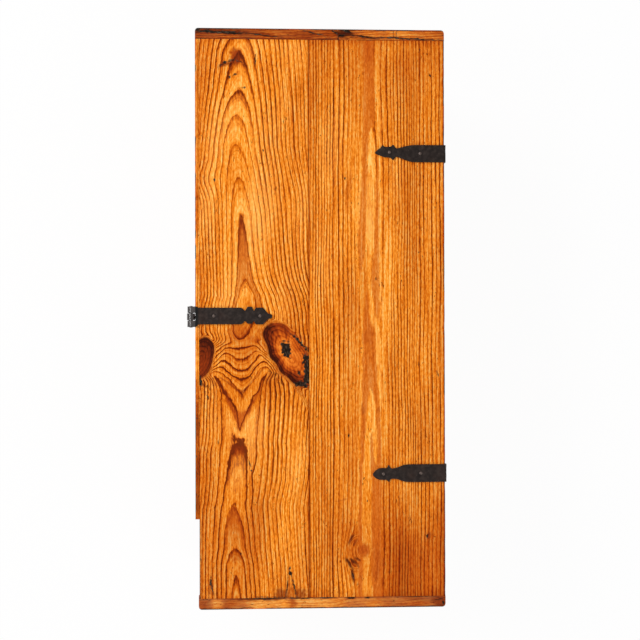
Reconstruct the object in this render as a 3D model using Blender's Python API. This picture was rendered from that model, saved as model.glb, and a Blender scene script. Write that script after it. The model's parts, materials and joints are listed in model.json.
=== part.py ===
"""Pine trunk with dovetailed walls, a two-board lid, iron strap hinges and a hanging hasp.

Metres, +Z up. X runs along the trunk, the front with the hasp faces -Y, and the origin is the
middle of the underside.
"""

import math
from dataclasses import dataclass

import bmesh
import bpy
from mathutils import Vector

# Fits
FIT_GAP = 0.0003
PIN_CLEARANCE = 0.0003

# Walls and bottom
BOX_LENGTH = 0.871
BOX_DEPTH = 0.374
WALL_THICKNESS = 0.020
LOWER_BOARD_HEIGHT = 0.204
UPPER_BOARD_HEIGHT = 0.160
LOWER_TAILS = 3
UPPER_TAILS = 2
DOVETAIL_PIN_WIDTH = 0.014
DOVETAIL_SLOPE = 0.16
BOTTOM_THICKNESS = 0.018
BOTTOM_FRONT_WIDTH = 0.203

# Lid boards, end cleats and front lip
LID_THICKNESS = 0.020
LID_FRONT_WIDTH = 0.1715
TONGUE_DEPTH = 0.007
TONGUE_THICKNESS = 0.006
LID_FRONT_GAP = 0.004
CLEAT_GAP = 0.002
CLEAT_THICKNESS = 0.017
CLEAT_DROP = 0.020
CLEAT_CORNER = 0.005
RIGHT_CLEAT_SETBACK = 0.005
LIP_THICKNESS = 0.006
LIP_DROP = 0.008
LIP_MISSING = 0.124

# Hinges: the straps lie on the lid, the leaves on the back wall
STRAP_WIDTH = 0.0275
STRAP_THICKNESS = 0.002
STRAP_BEND = 0.0015
LEFT_HINGE_X = -0.259
LEFT_STRAP_LENGTH = 0.110
LEFT_FINIAL_LENGTH = 0.0345
LEFT_FINIAL_LEAN = -0.0017
RIGHT_HINGE_X = 0.244
RIGHT_STRAP_LENGTH = 0.1145
RIGHT_FINIAL_LENGTH = 0.030
RIGHT_FINIAL_LEAN = 0.0008
NECK_WIDTH = 0.0145
SPUR_WIDTH = 0.0268
LOBE_WIDTH = 0.0172
TAPER_LENGTH = 0.027
LEAF_LENGTH = 0.085
LEAF_FINIAL_LENGTH = 0.030
HINGE_PIN_RADIUS = 0.0027

# Hasp
HASP_X = -0.0035
HASP_STRAP_LENGTH = 0.120
HASP_STRAP_WIDTH = 0.026
HASP_STRAP_THICKNESS = 0.0022
HASP_HEAD_WIDTH = 0.0262
HASP_WAIST_WIDTH = 0.0155
HASP_TIP_WIDTH = 0.003
HASP_KNOB_WIDTH = 0.0062
HASP_KNOB_START = 0.0022
HASP_KNOB_END = 0.0052
HASP_HEAD_START = 0.0140
HASP_HEAD_END = 0.0262
HASP_NOTCH = 0.0290
HASP_COLLAR_START = 0.0312
HASP_COLLAR_END = 0.0386
HASP_WAIST = 0.0430
HASP_BAND_START = 0.0490
HASP_PIN_RADIUS = 0.003
BARREL_LENGTH = 0.032
BARREL_SHIFT = 0.0011
HASP_LEAF_WIDTH = 0.028
HASP_LEAF_THICKNESS = 0.003
HASP_NECK_LENGTH = 0.014
HASP_SET_RADIUS = 0.006
HASP_TIP_RADIUS = 0.012
HASP_TIP_ANGLE = 55.0
STAPLE_DROP = 0.068
STAPLE_BAR = 0.0045
STAPLE_SPACING = 0.014
STAPLE_NOSE_GAP = 0.0009
STAPLE_BEND = 0.0006
STAPLE_CLINCH = 0.012
SLOT_SIDE_PLAY = 0.002
SLOT_END_PLAY = 0.005
SLOT_MARGIN = 0.005

# Nails
WOOD_NAIL_HEAD = 0.0032
WOOD_NAIL_SHANK = 0.0015
WOOD_NAIL_GRIP = 0.024
IRON_NAIL_HEAD = 0.0026
IRON_NAIL_DOME = 0.0013
IRON_NAIL_SHANK = 0.0013
NAIL_HEAD_HEIGHT = 0.0014
LEFT_TIP_NAIL = 0.0873
RIGHT_TIP_NAIL = 0.098
ROOT_NAIL = 0.0388
LEAF_NAIL_SPACING = 0.034
HASP_ROOT_NAIL = 0.0287
HASP_TIP_NAIL = 0.1009

# How round things are cut up
ROLL_ANGLE = 285.0
ARC_STEP = 19.0
PIN_SIDES = 16
NAIL_SIDES = 6
CUT_REACH = 0.004

# Box faces
BOX_END = BOX_LENGTH / 2
BOX_FRONT = -BOX_DEPTH / 2
BOX_BACK = BOX_DEPTH / 2
WALL_FOOT = BOTTOM_THICKNESS + FIT_GAP
WALL_SEAM = WALL_FOOT + LOWER_BOARD_HEIGHT
UPPER_FOOT = WALL_SEAM + FIT_GAP
RIM = UPPER_FOOT + UPPER_BOARD_HEIGHT
INNER_FRONT = BOX_FRONT + WALL_THICKNESS
BOTTOM_SEAM = BOX_FRONT + BOTTOM_FRONT_WIDTH

# Lid faces
LID_UNDER = RIM + FIT_GAP
LID_TOP = LID_UNDER + LID_THICKNESS
LID_MIDDLE = LID_UNDER + LID_THICKNESS / 2
CLEAT_INNER = BOX_END + CLEAT_GAP
CLEAT_OUTER = CLEAT_INNER + CLEAT_THICKNESS
LID_END = CLEAT_INNER - FIT_GAP
LID_FRONT = BOX_FRONT - LID_FRONT_GAP
LID_SEAM = LID_FRONT + LID_FRONT_WIDTH
LIP_BACK = LID_FRONT - FIT_GAP
LIP_FRONT = LIP_BACK - LIP_THICKNESS
LIP_END = CLEAT_INNER - LIP_MISSING

# Hinge barrels, tucked under the lid's back overhang
HINGE_INNER = HINGE_PIN_RADIUS + PIN_CLEARANCE
HINGE_OUTER = HINGE_INNER + STRAP_THICKNESS
HINGE_Y = BOX_BACK + FIT_GAP + HINGE_OUTER
HINGE_Z = LID_UNDER - FIT_GAP - HINGE_OUTER
LID_BACK = HINGE_Y + HINGE_INNER - FIT_GAP
STRAP_FACE = LID_TOP + FIT_GAP

# Hasp barrel, in front of the lip
HASP_INNER = HASP_PIN_RADIUS + PIN_CLEARANCE
HASP_STRAP_OUTER = HASP_INNER + HASP_STRAP_THICKNESS
HASP_LEAF_OUTER = HASP_INNER + HASP_LEAF_THICKNESS
HASP_Y = LIP_FRONT - FIT_GAP - HASP_LEAF_OUTER
HASP_Z = STRAP_FACE + HASP_STRAP_THICKNESS - HASP_STRAP_OUTER
HASP_LEAF_BACK = HASP_Y + HASP_LEAF_THICKNESS / 2
STAPLE_Z = HASP_Z - STAPLE_DROP
STAPLE_REACH = BOX_FRONT - HASP_LEAF_BACK - STAPLE_NOSE_GAP
STAPLE_HEIGHT = STAPLE_SPACING + STAPLE_BAR
SLOT_LENGTH = STAPLE_HEIGHT + 2 * SLOT_END_PLAY
SLOT_WIDTH = STAPLE_BAR + 2 * SLOT_SIDE_PLAY

PINE = ((0.78, 0.42, 0.15), 0.6, 0.0)
LID_PINE = ((0.82, 0.42, 0.12), 0.55, 0.0)
IRON = ((0.035, 0.032, 0.03), 0.55, 0.9)
NAIL_IRON = ((0.16, 0.13, 0.12), 0.45, 0.9)


class BendPath:
    """A line of straights and arcs in the YZ plane that a flat blank is bent along."""

    def __init__(self, y, z, heading):
        self.end = Vector((y, z))
        self.heading = math.radians(heading)
        self.length = 0.0
        self.pieces = []
        self.cuts = []

    def straight(self, length):
        self.pieces.append((self.length, self.end, self.heading, 0.0))
        direction = Vector((math.cos(self.heading), math.sin(self.heading)))
        self.end = self.end + direction * length
        self.length += length
        return self

    def arc(self, radius, degrees):
        """Turns left for positive degrees, right for negative ones."""
        turn = math.radians(degrees)
        length = radius * abs(turn)
        steps = max(1, math.ceil(abs(degrees) / ARC_STEP))
        piece = (self.length, self.end, self.heading, math.copysign(1 / radius, degrees))
        self.pieces.append(piece)
        self.cuts += [self.length + length * k / steps for k in range(steps + 1)]
        self.end = self.point_on(piece, self.length + length)
        self.length += length
        self.heading += turn
        return self

    @staticmethod
    def point_on(piece, along):
        start, point, heading, curve = piece
        if curve == 0.0:
            return point + Vector((math.cos(heading), math.sin(heading))) * (along - start)
        now = heading + curve * (along - start)
        sideways = math.sin(now) - math.sin(heading)
        upward = math.cos(heading) - math.cos(now)
        return point + Vector((sideways, upward)) / curve

    def place(self, x, along, height):
        """World point of a blank point; height is measured to the left of the path."""
        piece = self.pieces[0]
        for candidate in self.pieces:
            if candidate[0] <= along + 1e-9:
                piece = candidate
        now = piece[2] + piece[3] * (along - piece[0])
        point = self.point_on(piece, along)
        return Vector((x, point.x - height * math.sin(now), point.y + height * math.cos(now)))


@dataclass
class Nail:
    """One nail: at is the middle of its head's outer face, into the way it was driven."""

    at: Vector
    into: Vector
    length: float
    on_iron: bool = False

    def radii(self):
        if self.on_iron:
            return IRON_NAIL_HEAD, IRON_NAIL_SHANK
        return WOOD_NAIL_HEAD, WOOD_NAIL_SHANK

    def body(self):
        head, shank = self.radii()
        rim = NAIL_HEAD_HEIGHT
        if self.on_iron:
            dome = [(0.55 * head, 0.0), (0.9 * head, 0.5 * IRON_NAIL_DOME)]
            rim = IRON_NAIL_DOME
        else:
            dome = [(head, 0.0)]
        return dome + [(head, rim), (shank, rim), (0.5 * shank, self.length)]

    def hole(self):
        head, shank = self.radii()
        wide = head + FIT_GAP
        narrow = shank + FIT_GAP
        foot = (narrow, self.length + FIT_GAP)
        if self.on_iron:
            return [(narrow, -CUT_REACH), foot]
        floor = NAIL_HEAD_HEIGHT + FIT_GAP
        return [(wide, -CUT_REACH), (wide, floor), (narrow, floor), foot]


def turned(bm, profile, at, axis, sides):
    """Adds a closed turned body; profile lists (radius, distance along the axis)."""
    axis = axis.normalized()
    side = axis.orthogonal().normalized()
    other = axis.cross(side)
    rings = []
    for radius, along in profile:
        angles = [2 * math.pi * k / sides for k in range(sides)]
        offsets = [radius * (math.cos(a) * side + math.sin(a) * other) for a in angles]
        rings.append([bm.verts.new(at + axis * along + offset) for offset in offsets])
    for low, high in zip(rings, rings[1:]):
        for k in range(sides):
            nxt = (k + 1) % sides
            bm.faces.new((low[k], low[nxt], high[nxt], high[k]))
    bm.faces.new(list(reversed(rings[0])))
    bm.faces.new(rings[-1])


def prism(bm, outline, axis, low, high):
    """Adds an outline drawn in the other two axes (in X, Y, Z order), swept along one axis."""
    spots = {"X": (1, 2), "Y": (0, 2), "Z": (0, 1)}[axis]
    along = "XYZ".index(axis)
    rings = []
    for level in (low, high):
        ring = []
        for point in outline:
            place = [0.0, 0.0, 0.0]
            place[spots[0]] = point[0]
            place[spots[1]] = point[1]
            place[along] = level
            ring.append(bm.verts.new(place))
        rings.append(ring)
    count = len(outline)
    for k in range(count):
        nxt = (k + 1) % count
        bm.faces.new((rings[0][k], rings[0][nxt], rings[1][nxt], rings[1][k]))
    bm.faces.new(list(reversed(rings[0])))
    bm.faces.new(rings[1])


def block(bm, low, high):
    outline = [(low[0], low[1]), (high[0], low[1]), (high[0], high[1]), (low[0], high[1])]
    prism(bm, outline, "Z", low[2], high[2])


def bent(bm, outline, path, low, high):
    """Adds a flat blank, outline in (x, along), bent along the path, between two heights."""
    flat = bmesh.new()
    flat.faces.new([flat.verts.new((x, along, low)) for x, along in outline])
    for cut in path.cuts:
        geometry = flat.verts[:] + flat.edges[:] + flat.faces[:]
        bmesh.ops.bisect_plane(
            flat, geom=geometry, dist=1e-7, plane_co=(0, cut, low), plane_no=(0, 1, 0)
        )
    raised = bmesh.ops.extrude_face_region(flat, geom=flat.faces[:])["geom"]
    for item in raised:
        if isinstance(item, bmesh.types.BMVert):
            item.co.z = high
    for vert in flat.verts:
        vert.co = path.place(vert.co.x, vert.co.y, vert.co.z)
    copies = {vert: bm.verts.new(vert.co) for vert in flat.verts}
    for face in flat.faces:
        bm.faces.new([copies[vert] for vert in face.verts])
    flat.free()


def mirrored(half, root):
    """Closed outline from (half width, along) points that start at the tip of a strap."""
    right = [(width + lean, along) for width, lean, along in half]
    left = [(lean - width, along) for width, lean, along in reversed(half)]
    return right + root + left


def spread(low, high, count):
    return [low + (high - low) * k / (count - 1) for k in range(count)]


def helper(name, place, parent=None):
    empty = bpy.data.objects.new(name, None)
    bpy.context.scene.collection.objects.link(empty)
    empty["place"] = place
    empty.parent = parent
    origin = Vector(parent["place"]) if parent else Vector()
    empty.location = Vector(place) - origin
    return empty


def add(name, bm, parent, finish):
    """Makes the sub-part's object, its origin at the parent's."""
    origin = Vector(parent["place"])
    bmesh.ops.recalc_face_normals(bm, faces=bm.faces)
    bmesh.ops.translate(bm, verts=bm.verts, vec=-origin)
    mesh = bpy.data.meshes.new(name)
    bm.to_mesh(mesh)
    bm.free()
    piece = bpy.data.objects.new(name, mesh)
    piece.parent = parent
    bpy.context.scene.collection.objects.link(piece)
    material = bpy.data.materials.new(name)
    material.use_nodes = True
    shader = material.node_tree.nodes["Principled BSDF"]
    colour, roughness, metallic = finish
    shader.inputs["Base Color"].default_value = (*colour, 1.0)
    shader.inputs["Roughness"].default_value = roughness
    shader.inputs["Metallic"].default_value = metallic
    mesh.materials.append(material)
    return piece


def cut(piece, name, bm):
    """Takes the cutter's bodies out of the piece."""
    bmesh.ops.recalc_face_normals(bm, faces=bm.faces)
    mesh = bpy.data.meshes.new(name)
    bm.to_mesh(mesh)
    bm.free()
    cutter = bpy.data.objects.new(name, mesh)
    bpy.context.scene.collection.objects.link(cutter)
    cutter.hide_render = True
    cutter.display_type = "WIRE"
    modifier = piece.modifiers.new(name, "BOOLEAN")
    modifier.operation = "DIFFERENCE"
    modifier.solver = "EXACT"
    modifier.object = cutter


def drill(piece, nails):
    bm = bmesh.new()
    for nail in nails:
        turned(bm, nail.hole(), nail.at, nail.into, NAIL_SIDES)
    cut(piece, piece.name + ".nail_holes", bm)


def add_nails(name, nails, parent):
    for number, nail in enumerate(nails, 1):
        bm = bmesh.new()
        turned(bm, nail.body(), nail.at, nail.into, NAIL_SIDES)
        add(f"{name}_{number}", bm, parent, NAIL_IRON)


def tails(foot, top, count):
    """(middle, half height at the shoulder, half height at the end) of each dovetail."""
    pitch = (top - foot) / count
    end = (pitch - DOVETAIL_PIN_WIDTH) / 2
    shoulder = end - DOVETAIL_SLOPE * WALL_THICKNESS
    return [(foot + pitch * (k + 0.5), shoulder, end) for k in range(count)]


def tail_board(name, outer, inner, foot, top, count, parent):
    """A front or back board, with a row of dovetails at each end."""
    shoulder = BOX_END - WALL_THICKNESS
    edge = [(shoulder, foot)]
    for middle, narrow, wide in tails(foot, top, count):
        edge.append((shoulder, middle - narrow))
        edge.append((BOX_END, middle - wide))
        edge.append((BOX_END, middle + wide))
        edge.append((shoulder, middle + narrow))
    edge.append((shoulder, top))
    bm = bmesh.new()
    outline = edge + [(-x, z) for x, z in reversed(edge)]
    prism(bm, outline, "Y", min(outer, inner), max(outer, inner))
    return add(name, bm, parent, PINE)


def pin_board(name, side, foot, top, count, parent):
    """An end board, cut so that its pins fill the gaps between the dovetails."""
    shoulder = side * (BOX_END - WALL_THICKNESS)
    face = side * BOX_END
    bm = bmesh.new()
    low = (min(shoulder, face), BOX_FRONT, foot)
    high = (max(shoulder, face), BOX_BACK, top)
    block(bm, low, high)
    piece = add(name, bm, parent, PINE)
    reach = WALL_THICKNESS + CUT_REACH
    sockets = bmesh.new()
    for middle, narrow, wide in tails(foot, top, count):
        deep = narrow - DOVETAIL_SLOPE * CUT_REACH + FIT_GAP
        shallow = deep + DOVETAIL_SLOPE * (reach + CUT_REACH)
        start = shoulder - side * CUT_REACH
        stop = shoulder + side * reach
        outline = [(start, middle - deep), (stop, middle - shallow)]
        outline += [(stop, middle + shallow), (start, middle + deep)]
        inner = WALL_THICKNESS + FIT_GAP
        prism(sockets, outline, "Y", BOX_FRONT - CUT_REACH, BOX_FRONT + inner)
        prism(sockets, outline, "Y", BOX_BACK - inner, BOX_BACK + CUT_REACH)
    cut(piece, name + ".sockets", sockets)
    return piece


def walls(parent):
    """The eight wall boards, by name."""
    boards = {}
    tiers = (("lower", WALL_FOOT, WALL_SEAM, LOWER_TAILS), ("upper", UPPER_FOOT, RIM, UPPER_TAILS))
    for tier, foot, top, count in tiers:
        for face, outer, way in (("front", BOX_FRONT, 1), ("back", BOX_BACK, -1)):
            name = f"{face}_{tier}_board"
            inner = outer + way * WALL_THICKNESS
            boards[name] = tail_board(name, outer, inner, foot, top, count, parent)
        for end, side in (("left", -1), ("right", 1)):
            name = f"{end}_end_{tier}_board"
            boards[name] = pin_board(name, side, foot, top, count, parent)
    return boards


def bottom(boards, parent):
    """Two boards under the walls, nailed up into them with the heads sunk."""
    for name, low, high in (
        ("bottom_front_board", BOX_FRONT, BOTTOM_SEAM),
        ("bottom_back_board", BOTTOM_SEAM + FIT_GAP, BOX_BACK),
    ):
        bm = bmesh.new()
        block(bm, (-BOX_END, low, 0.0), (BOX_END, high, BOTTOM_THICKNESS))
        boards[name] = add(name, bm, parent, PINE)
    middle = WALL_THICKNESS / 2
    inset = BOX_END - 4 * WALL_THICKNESS
    rows = {
        "front": [(x, BOX_FRONT + middle) for x in spread(-inset, inset, 3)],
        "back": [(x, BOX_BACK - middle) for x in spread(-inset, inset, 3)],
        "left_end": [(middle - BOX_END, y) for y in (BOX_FRONT / 2, BOX_BACK / 2)],
        "right_end": [(BOX_END - middle, y) for y in (BOX_FRONT / 2, BOX_BACK / 2)],
    }
    length = BOTTOM_THICKNESS + WOOD_NAIL_GRIP
    every = []
    for wall, spots in rows.items():
        nails = [Nail(Vector((x, y, FIT_GAP)), Vector((0, 0, 1)), length) for x, y in spots]
        drill(boards[wall + "_lower_board"], nails)
        every += nails
    for name, keep in (("bottom_front_board", True), ("bottom_back_board", False)):
        drill(boards[name], [nail for nail in every if (nail.at.y < BOTTOM_SEAM) == keep])
    add_nails("bottom_nail", every, parent)


def lid_boards(parent):
    """The two lid boards, tongued and grooved; the straps bend over the eased back edge."""
    tongue = TONGUE_THICKNESS / 2
    tip = LID_SEAM + TONGUE_DEPTH
    front = [(LID_FRONT, LID_UNDER), (LID_SEAM, LID_UNDER), (LID_SEAM, LID_MIDDLE - tongue)]
    front += [(tip, LID_MIDDLE - tongue), (tip, LID_MIDDLE + tongue)]
    front += [(LID_SEAM, LID_MIDDLE + tongue), (LID_SEAM, LID_TOP), (LID_FRONT, LID_TOP)]
    edge = LID_SEAM + FIT_GAP
    floor = tip + FIT_GAP
    groove = tongue + FIT_GAP
    back = [(LID_BACK, LID_UNDER), (LID_BACK, LID_TOP - STRAP_BEND)]
    back += [(LID_BACK - STRAP_BEND, LID_TOP), (edge, LID_TOP)]
    back += [(edge, LID_MIDDLE + groove), (floor, LID_MIDDLE + groove)]
    back += [(floor, LID_MIDDLE - groove), (edge, LID_MIDDLE - groove), (edge, LID_UNDER)]
    boards = {}
    for name, outline in (("lid_front_board", front), ("lid_back_board", back)):
        bm = bmesh.new()
        prism(bm, outline, "X", -LID_END, LID_END)
        boards[name] = add(name, bm, parent, LID_PINE)
    return boards


def cleats(parent):
    """Strips nailed across the lid's ends; their outer corners are rounded."""
    every = []
    margin = 0.18
    rows = []
    for name, low, high in (
        ("lid_front_board", LID_FRONT, LID_SEAM),
        ("lid_back_board", LID_SEAM, LID_BACK),
    ):
        inset = margin * (high - low)
        rows += [(name, low + inset), (name, high - inset)]
    for end, side, setback in (("left", -1, 0.0), ("right", 1, RIGHT_CLEAT_SETBACK)):
        front = LIP_FRONT + setback
        outer = side * CLEAT_OUTER
        inner = side * CLEAT_INNER
        outline = [(inner, front), (inner, LID_BACK)]
        turn = [math.radians(a) for a in spread(90, 0, 5)]
        for angle in turn:
            x = outer - side * CLEAT_CORNER * (1 - math.cos(angle))
            outline.append((x, LID_BACK - CLEAT_CORNER * (1 - math.sin(angle))))
        for angle in reversed(turn):
            x = outer - side * CLEAT_CORNER * (1 - math.cos(angle))
            outline.append((x, front + CLEAT_CORNER * (1 - math.sin(angle))))
        bm = bmesh.new()
        prism(bm, outline, "Z", LID_UNDER - CLEAT_DROP, LID_TOP)
        cleat = add(f"lid_cleat_{end}", bm, parent, LID_PINE)
        length = CLEAT_THICKNESS + WOOD_NAIL_GRIP
        head = outer - side * FIT_GAP
        into = Vector((-side, 0, 0))
        nails = [Nail(Vector((head, y, LID_MIDDLE)), into, length) for _, y in rows]
        drill(cleat, nails)
        every += [(name, nail) for (name, _), nail in zip(rows, nails)]
    add_nails("cleat_nail", [nail for _, nail in every], parent)
    return every


def lip(parent):
    """The strip on the lid's front edge, which stops short of the right end."""
    bm = bmesh.new()
    block(bm, (-LID_END, LIP_FRONT, LID_UNDER - LIP_DROP), (LIP_END, LIP_BACK, LID_TOP))
    strip = add("lid_front_lip", bm, parent, LID_PINE)
    inset = 2 * CLEAT_THICKNESS
    length = LIP_THICKNESS + WOOD_NAIL_GRIP
    spots = spread(-LID_END + inset, LIP_END - inset, 5)
    head = LIP_FRONT + FIT_GAP
    nails = [Nail(Vector((x, head, LID_MIDDLE)), Vector((0, 1, 0)), length) for x in spots]
    drill(strip, nails)
    add_nails("lip_nail", nails, parent)
    return nails


def finial(length, lean):
    """Half outline of a strap's end, from its tip to its neck and on through the taper."""
    lobe = 0.74 * length
    half = []
    for angle in spread(12, 90, 7):
        turn = math.radians(angle)
        half.append((LOBE_WIDTH / 2 * math.sin(turn), lean, 0.7 * lobe * (1 - math.cos(turn))))
    half.append((LOBE_WIDTH / 2, lean, lobe))
    half.append((SPUR_WIDTH / 2, lean, 0.84 * length))
    half.append((NECK_WIDTH / 2, lean, length))
    for share in (0.35, 0.7, 1.0):
        width = NECK_WIDTH + (STRAP_WIDTH - NECK_WIDTH) * math.sin(share * math.pi / 2)
        half.append((width / 2, lean * (1 - share), length + share * TAPER_LENGTH))
    return half


def shifted(outline, x):
    return [(point[0] + x, point[1]) for point in outline]


def finger():
    """Half width of a hinge's middle knuckle."""
    return STRAP_WIDTH / 6 - FIT_GAP / 2


def hinge(end, x, length, tip_length, lean, tip_nail, chest, lid):
    """One hinge: strap on the lid, leaf on the back wall, pin and nails; returns the nails."""
    bend_y = HINGE_Y + HINGE_INNER - STRAP_BEND
    top_length = length - STRAP_BEND
    leg = STRAP_FACE - STRAP_BEND - HINGE_Z
    path = BendPath(bend_y - top_length, STRAP_FACE, 0.0)
    path.straight(top_length).arc(STRAP_BEND, -90.0).straight(leg).arc(HINGE_INNER, -ROLL_ANGLE)
    bend_end = top_length + STRAP_BEND * math.pi / 2
    step = bend_end + leg - HINGE_OUTER - FIT_GAP
    wide = STRAP_WIDTH / 2
    knuckle = finger()
    root = [(wide, step), (knuckle, step), (knuckle, path.length)]
    root += [(-px, along) for px, along in reversed(root)]
    outline = mirrored(finial(tip_length, lean), root)
    bm = bmesh.new()
    bent(bm, shifted(outline, x), path, 0.0, STRAP_THICKNESS)
    strap = add(f"hinge_strap_{end}", bm, lid, IRON)
    head = STRAP_FACE + STRAP_THICKNESS + FIT_GAP + IRON_NAIL_DOME
    grip = IRON_NAIL_DOME + STRAP_THICKNESS + 2 * FIT_GAP + 0.75 * LID_THICKNESS
    spots = [(x, ROOT_NAIL), (x + lean, tip_nail)]
    strap_nails = [
        Nail(Vector((px, LID_BACK - along, head)), Vector((0, 0, -1)), grip, True)
        for px, along in spots
    ]
    drill(strap, strap_nails)

    foot = HINGE_Z - LEAF_LENGTH
    path = BendPath(HINGE_Y - HINGE_INNER, foot, 90.0)
    path.straight(LEAF_LENGTH).arc(HINGE_INNER, -ROLL_ANGLE)
    step = LEAF_LENGTH - HINGE_OUTER - FIT_GAP
    gap = knuckle + FIT_GAP
    root = [(wide, path.length), (gap, path.length), (gap, step)]
    root += [(-px, along) for px, along in reversed(root)]
    outline = mirrored(finial(LEAF_FINIAL_LENGTH, 0.0), root)
    bm = bmesh.new()
    bent(bm, shifted(outline, x), path, 0.0, STRAP_THICKNESS)
    leaf = add(f"hinge_leaf_{end}", bm, chest, IRON)
    face = BOX_BACK + FIT_GAP + STRAP_THICKNESS + FIT_GAP + IRON_NAIL_DOME
    grip = IRON_NAIL_DOME + STRAP_THICKNESS + 2 * FIT_GAP + 0.75 * WALL_THICKNESS
    tip = foot + 0.5 * LEAF_FINIAL_LENGTH
    leaf_nails = [
        Nail(Vector((x, face, z)), Vector((0, -1, 0)), grip, True)
        for z in (tip, tip + LEAF_NAIL_SPACING)
    ]
    drill(leaf, leaf_nails)
    pin(f"hinge_pin_{end}", HINGE_PIN_RADIUS, x, STRAP_WIDTH, (HINGE_Y, HINGE_Z), chest)
    return strap_nails, leaf_nails


def pin(name, radius, x, length, spot, parent):
    """A rod through a barrel, its ends peened a little proud."""
    proud = 0.3 * radius
    half = length / 2
    profile = [(0.7 * radius, -half - proud), (radius, -half), (radius, half)]
    profile.append((0.7 * radius, half + proud))
    bm = bmesh.new()
    turned(bm, profile, Vector((x, *spot)), Vector((1, 0, 0)), PIN_SIDES)
    return add(name, bm, parent, IRON)


def hasp_strap(lid):
    """The strap on the lid with a spear end, rolled into the barrel's outer knuckles."""
    tip_y = LIP_FRONT + HASP_STRAP_LENGTH
    path = BendPath(tip_y, STRAP_FACE + HASP_STRAP_THICKNESS, 180.0)
    path.straight(tip_y - HASP_Y).arc(HASP_STRAP_OUTER, ROLL_ANGLE)
    widths = [
        (HASP_TIP_WIDTH, 0.0),
        (HASP_KNOB_WIDTH, HASP_KNOB_START),
        (HASP_KNOB_WIDTH, HASP_KNOB_END),
        (HASP_HEAD_WIDTH, HASP_HEAD_START),
        (HASP_HEAD_WIDTH, HASP_HEAD_END),
        (HASP_WAIST_WIDTH, HASP_NOTCH),
        (HASP_HEAD_WIDTH, HASP_COLLAR_START),
        (HASP_HEAD_WIDTH, HASP_COLLAR_END),
        (HASP_WAIST_WIDTH, HASP_WAIST),
        (HASP_STRAP_WIDTH, HASP_BAND_START),
    ]
    half = [(width / 2, 0.0, along) for width, along in widths]
    band = HASP_STRAP_WIDTH / 2
    roll = tip_y - HASP_Y
    neck = roll - HASP_LEAF_OUTER - FIT_GAP
    reach = BARREL_LENGTH / 2
    inner = BARREL_LENGTH / 6 + FIT_GAP / 2
    flare = neck - 0.5 * HASP_LEAF_OUTER
    root = [(band, flare), (BARREL_SHIFT + reach, neck), (BARREL_SHIFT + reach, path.length)]
    root += [(BARREL_SHIFT + inner, path.length), (BARREL_SHIFT + inner, neck)]
    root += [(BARREL_SHIFT - inner, neck), (BARREL_SHIFT - inner, path.length)]
    root += [(BARREL_SHIFT - reach, path.length), (BARREL_SHIFT - reach, neck), (-band, flare)]
    bm = bmesh.new()
    bent(bm, shifted(mirrored(half, root), HASP_X), path, 0.0, HASP_STRAP_THICKNESS)
    strap = add("hasp_strap", bm, lid, IRON)
    head = STRAP_FACE + HASP_STRAP_THICKNESS + FIT_GAP + IRON_NAIL_DOME
    grip = IRON_NAIL_DOME + HASP_STRAP_THICKNESS + 2 * FIT_GAP + 0.75 * LID_THICKNESS
    nails = [
        Nail(Vector((HASP_X, LIP_FRONT + along, head)), Vector((0, 0, -1)), grip, True)
        for along in (HASP_ROOT_NAIL, HASP_TIP_NAIL)
    ]
    drill(strap, nails)
    add_nails("hasp_strap_nail", nails, lid)
    pin("hasp_pin", HASP_PIN_RADIUS, HASP_X + BARREL_SHIFT, BARREL_LENGTH, (HASP_Y, HASP_Z), lid)
    return nails


def hasp_leaf(parent):
    """The hanging leaf: rolled knuckle, set-over neck, slot for the staple, tip turned out."""
    offset = HASP_INNER + HASP_LEAF_THICKNESS / 2
    turn = math.degrees(math.acos(1 - offset / (2 * HASP_SET_RADIUS)))
    set_length = 2 * HASP_SET_RADIUS * math.sin(math.radians(turn))
    tip_turn = math.radians(HASP_TIP_ANGLE)
    flat_end = HASP_Z - STAPLE_DROP - SLOT_LENGTH / 2 - SLOT_MARGIN
    start_y = HASP_LEAF_BACK - HASP_TIP_RADIUS * (1 - math.cos(tip_turn))
    start_z = flat_end - HASP_TIP_RADIUS * math.sin(tip_turn)
    path = BendPath(start_y, start_z, 90.0 - HASP_TIP_ANGLE)
    path.arc(HASP_TIP_RADIUS, HASP_TIP_ANGLE).straight(HASP_Z - set_length - flat_end)
    path.arc(HASP_SET_RADIUS, turn).arc(HASP_SET_RADIUS, -turn)
    eye = path.length
    path.arc(HASP_INNER, -ROLL_ANGLE)
    wide = HASP_LEAF_WIDTH / 2
    curl = HASP_TIP_RADIUS * tip_turn
    half = []
    for angle in spread(15, 90, 6):
        bow = math.radians(angle)
        half.append((wide * math.sin(bow), 0.0, curl * (1 - math.cos(bow))))
    knuckle = BARREL_LENGTH / 6 - FIT_GAP / 2
    shoulder = eye - HASP_NECK_LENGTH
    half += [(wide, 0.0, shoulder - (wide - knuckle)), (knuckle, 0.0, shoulder)]
    root = [(knuckle, path.length), (-knuckle, path.length)]
    bm = bmesh.new()
    outline = shifted(mirrored(half, root), HASP_X + BARREL_SHIFT)
    bent(bm, outline, path, 0.0, HASP_LEAF_THICKNESS)
    leaf = add("hasp_leaf", bm, parent, IRON)
    radius = SLOT_WIDTH / 2
    straight = SLOT_LENGTH / 2 - radius
    outline = []
    for side in (1, -1):
        for angle in spread(0, 180, 7):
            a = math.radians(angle)
            px = HASP_X + BARREL_SHIFT + side * radius * math.cos(a)
            outline.append((px, STAPLE_Z + side * (straight + radius * math.sin(a))))
    bm = bmesh.new()
    reach = HASP_LEAF_THICKNESS / 2 + CUT_REACH
    prism(bm, outline, "Y", HASP_Y - reach, HASP_Y + reach)
    cut(leaf, "hasp_leaf.slot", bm)


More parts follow.
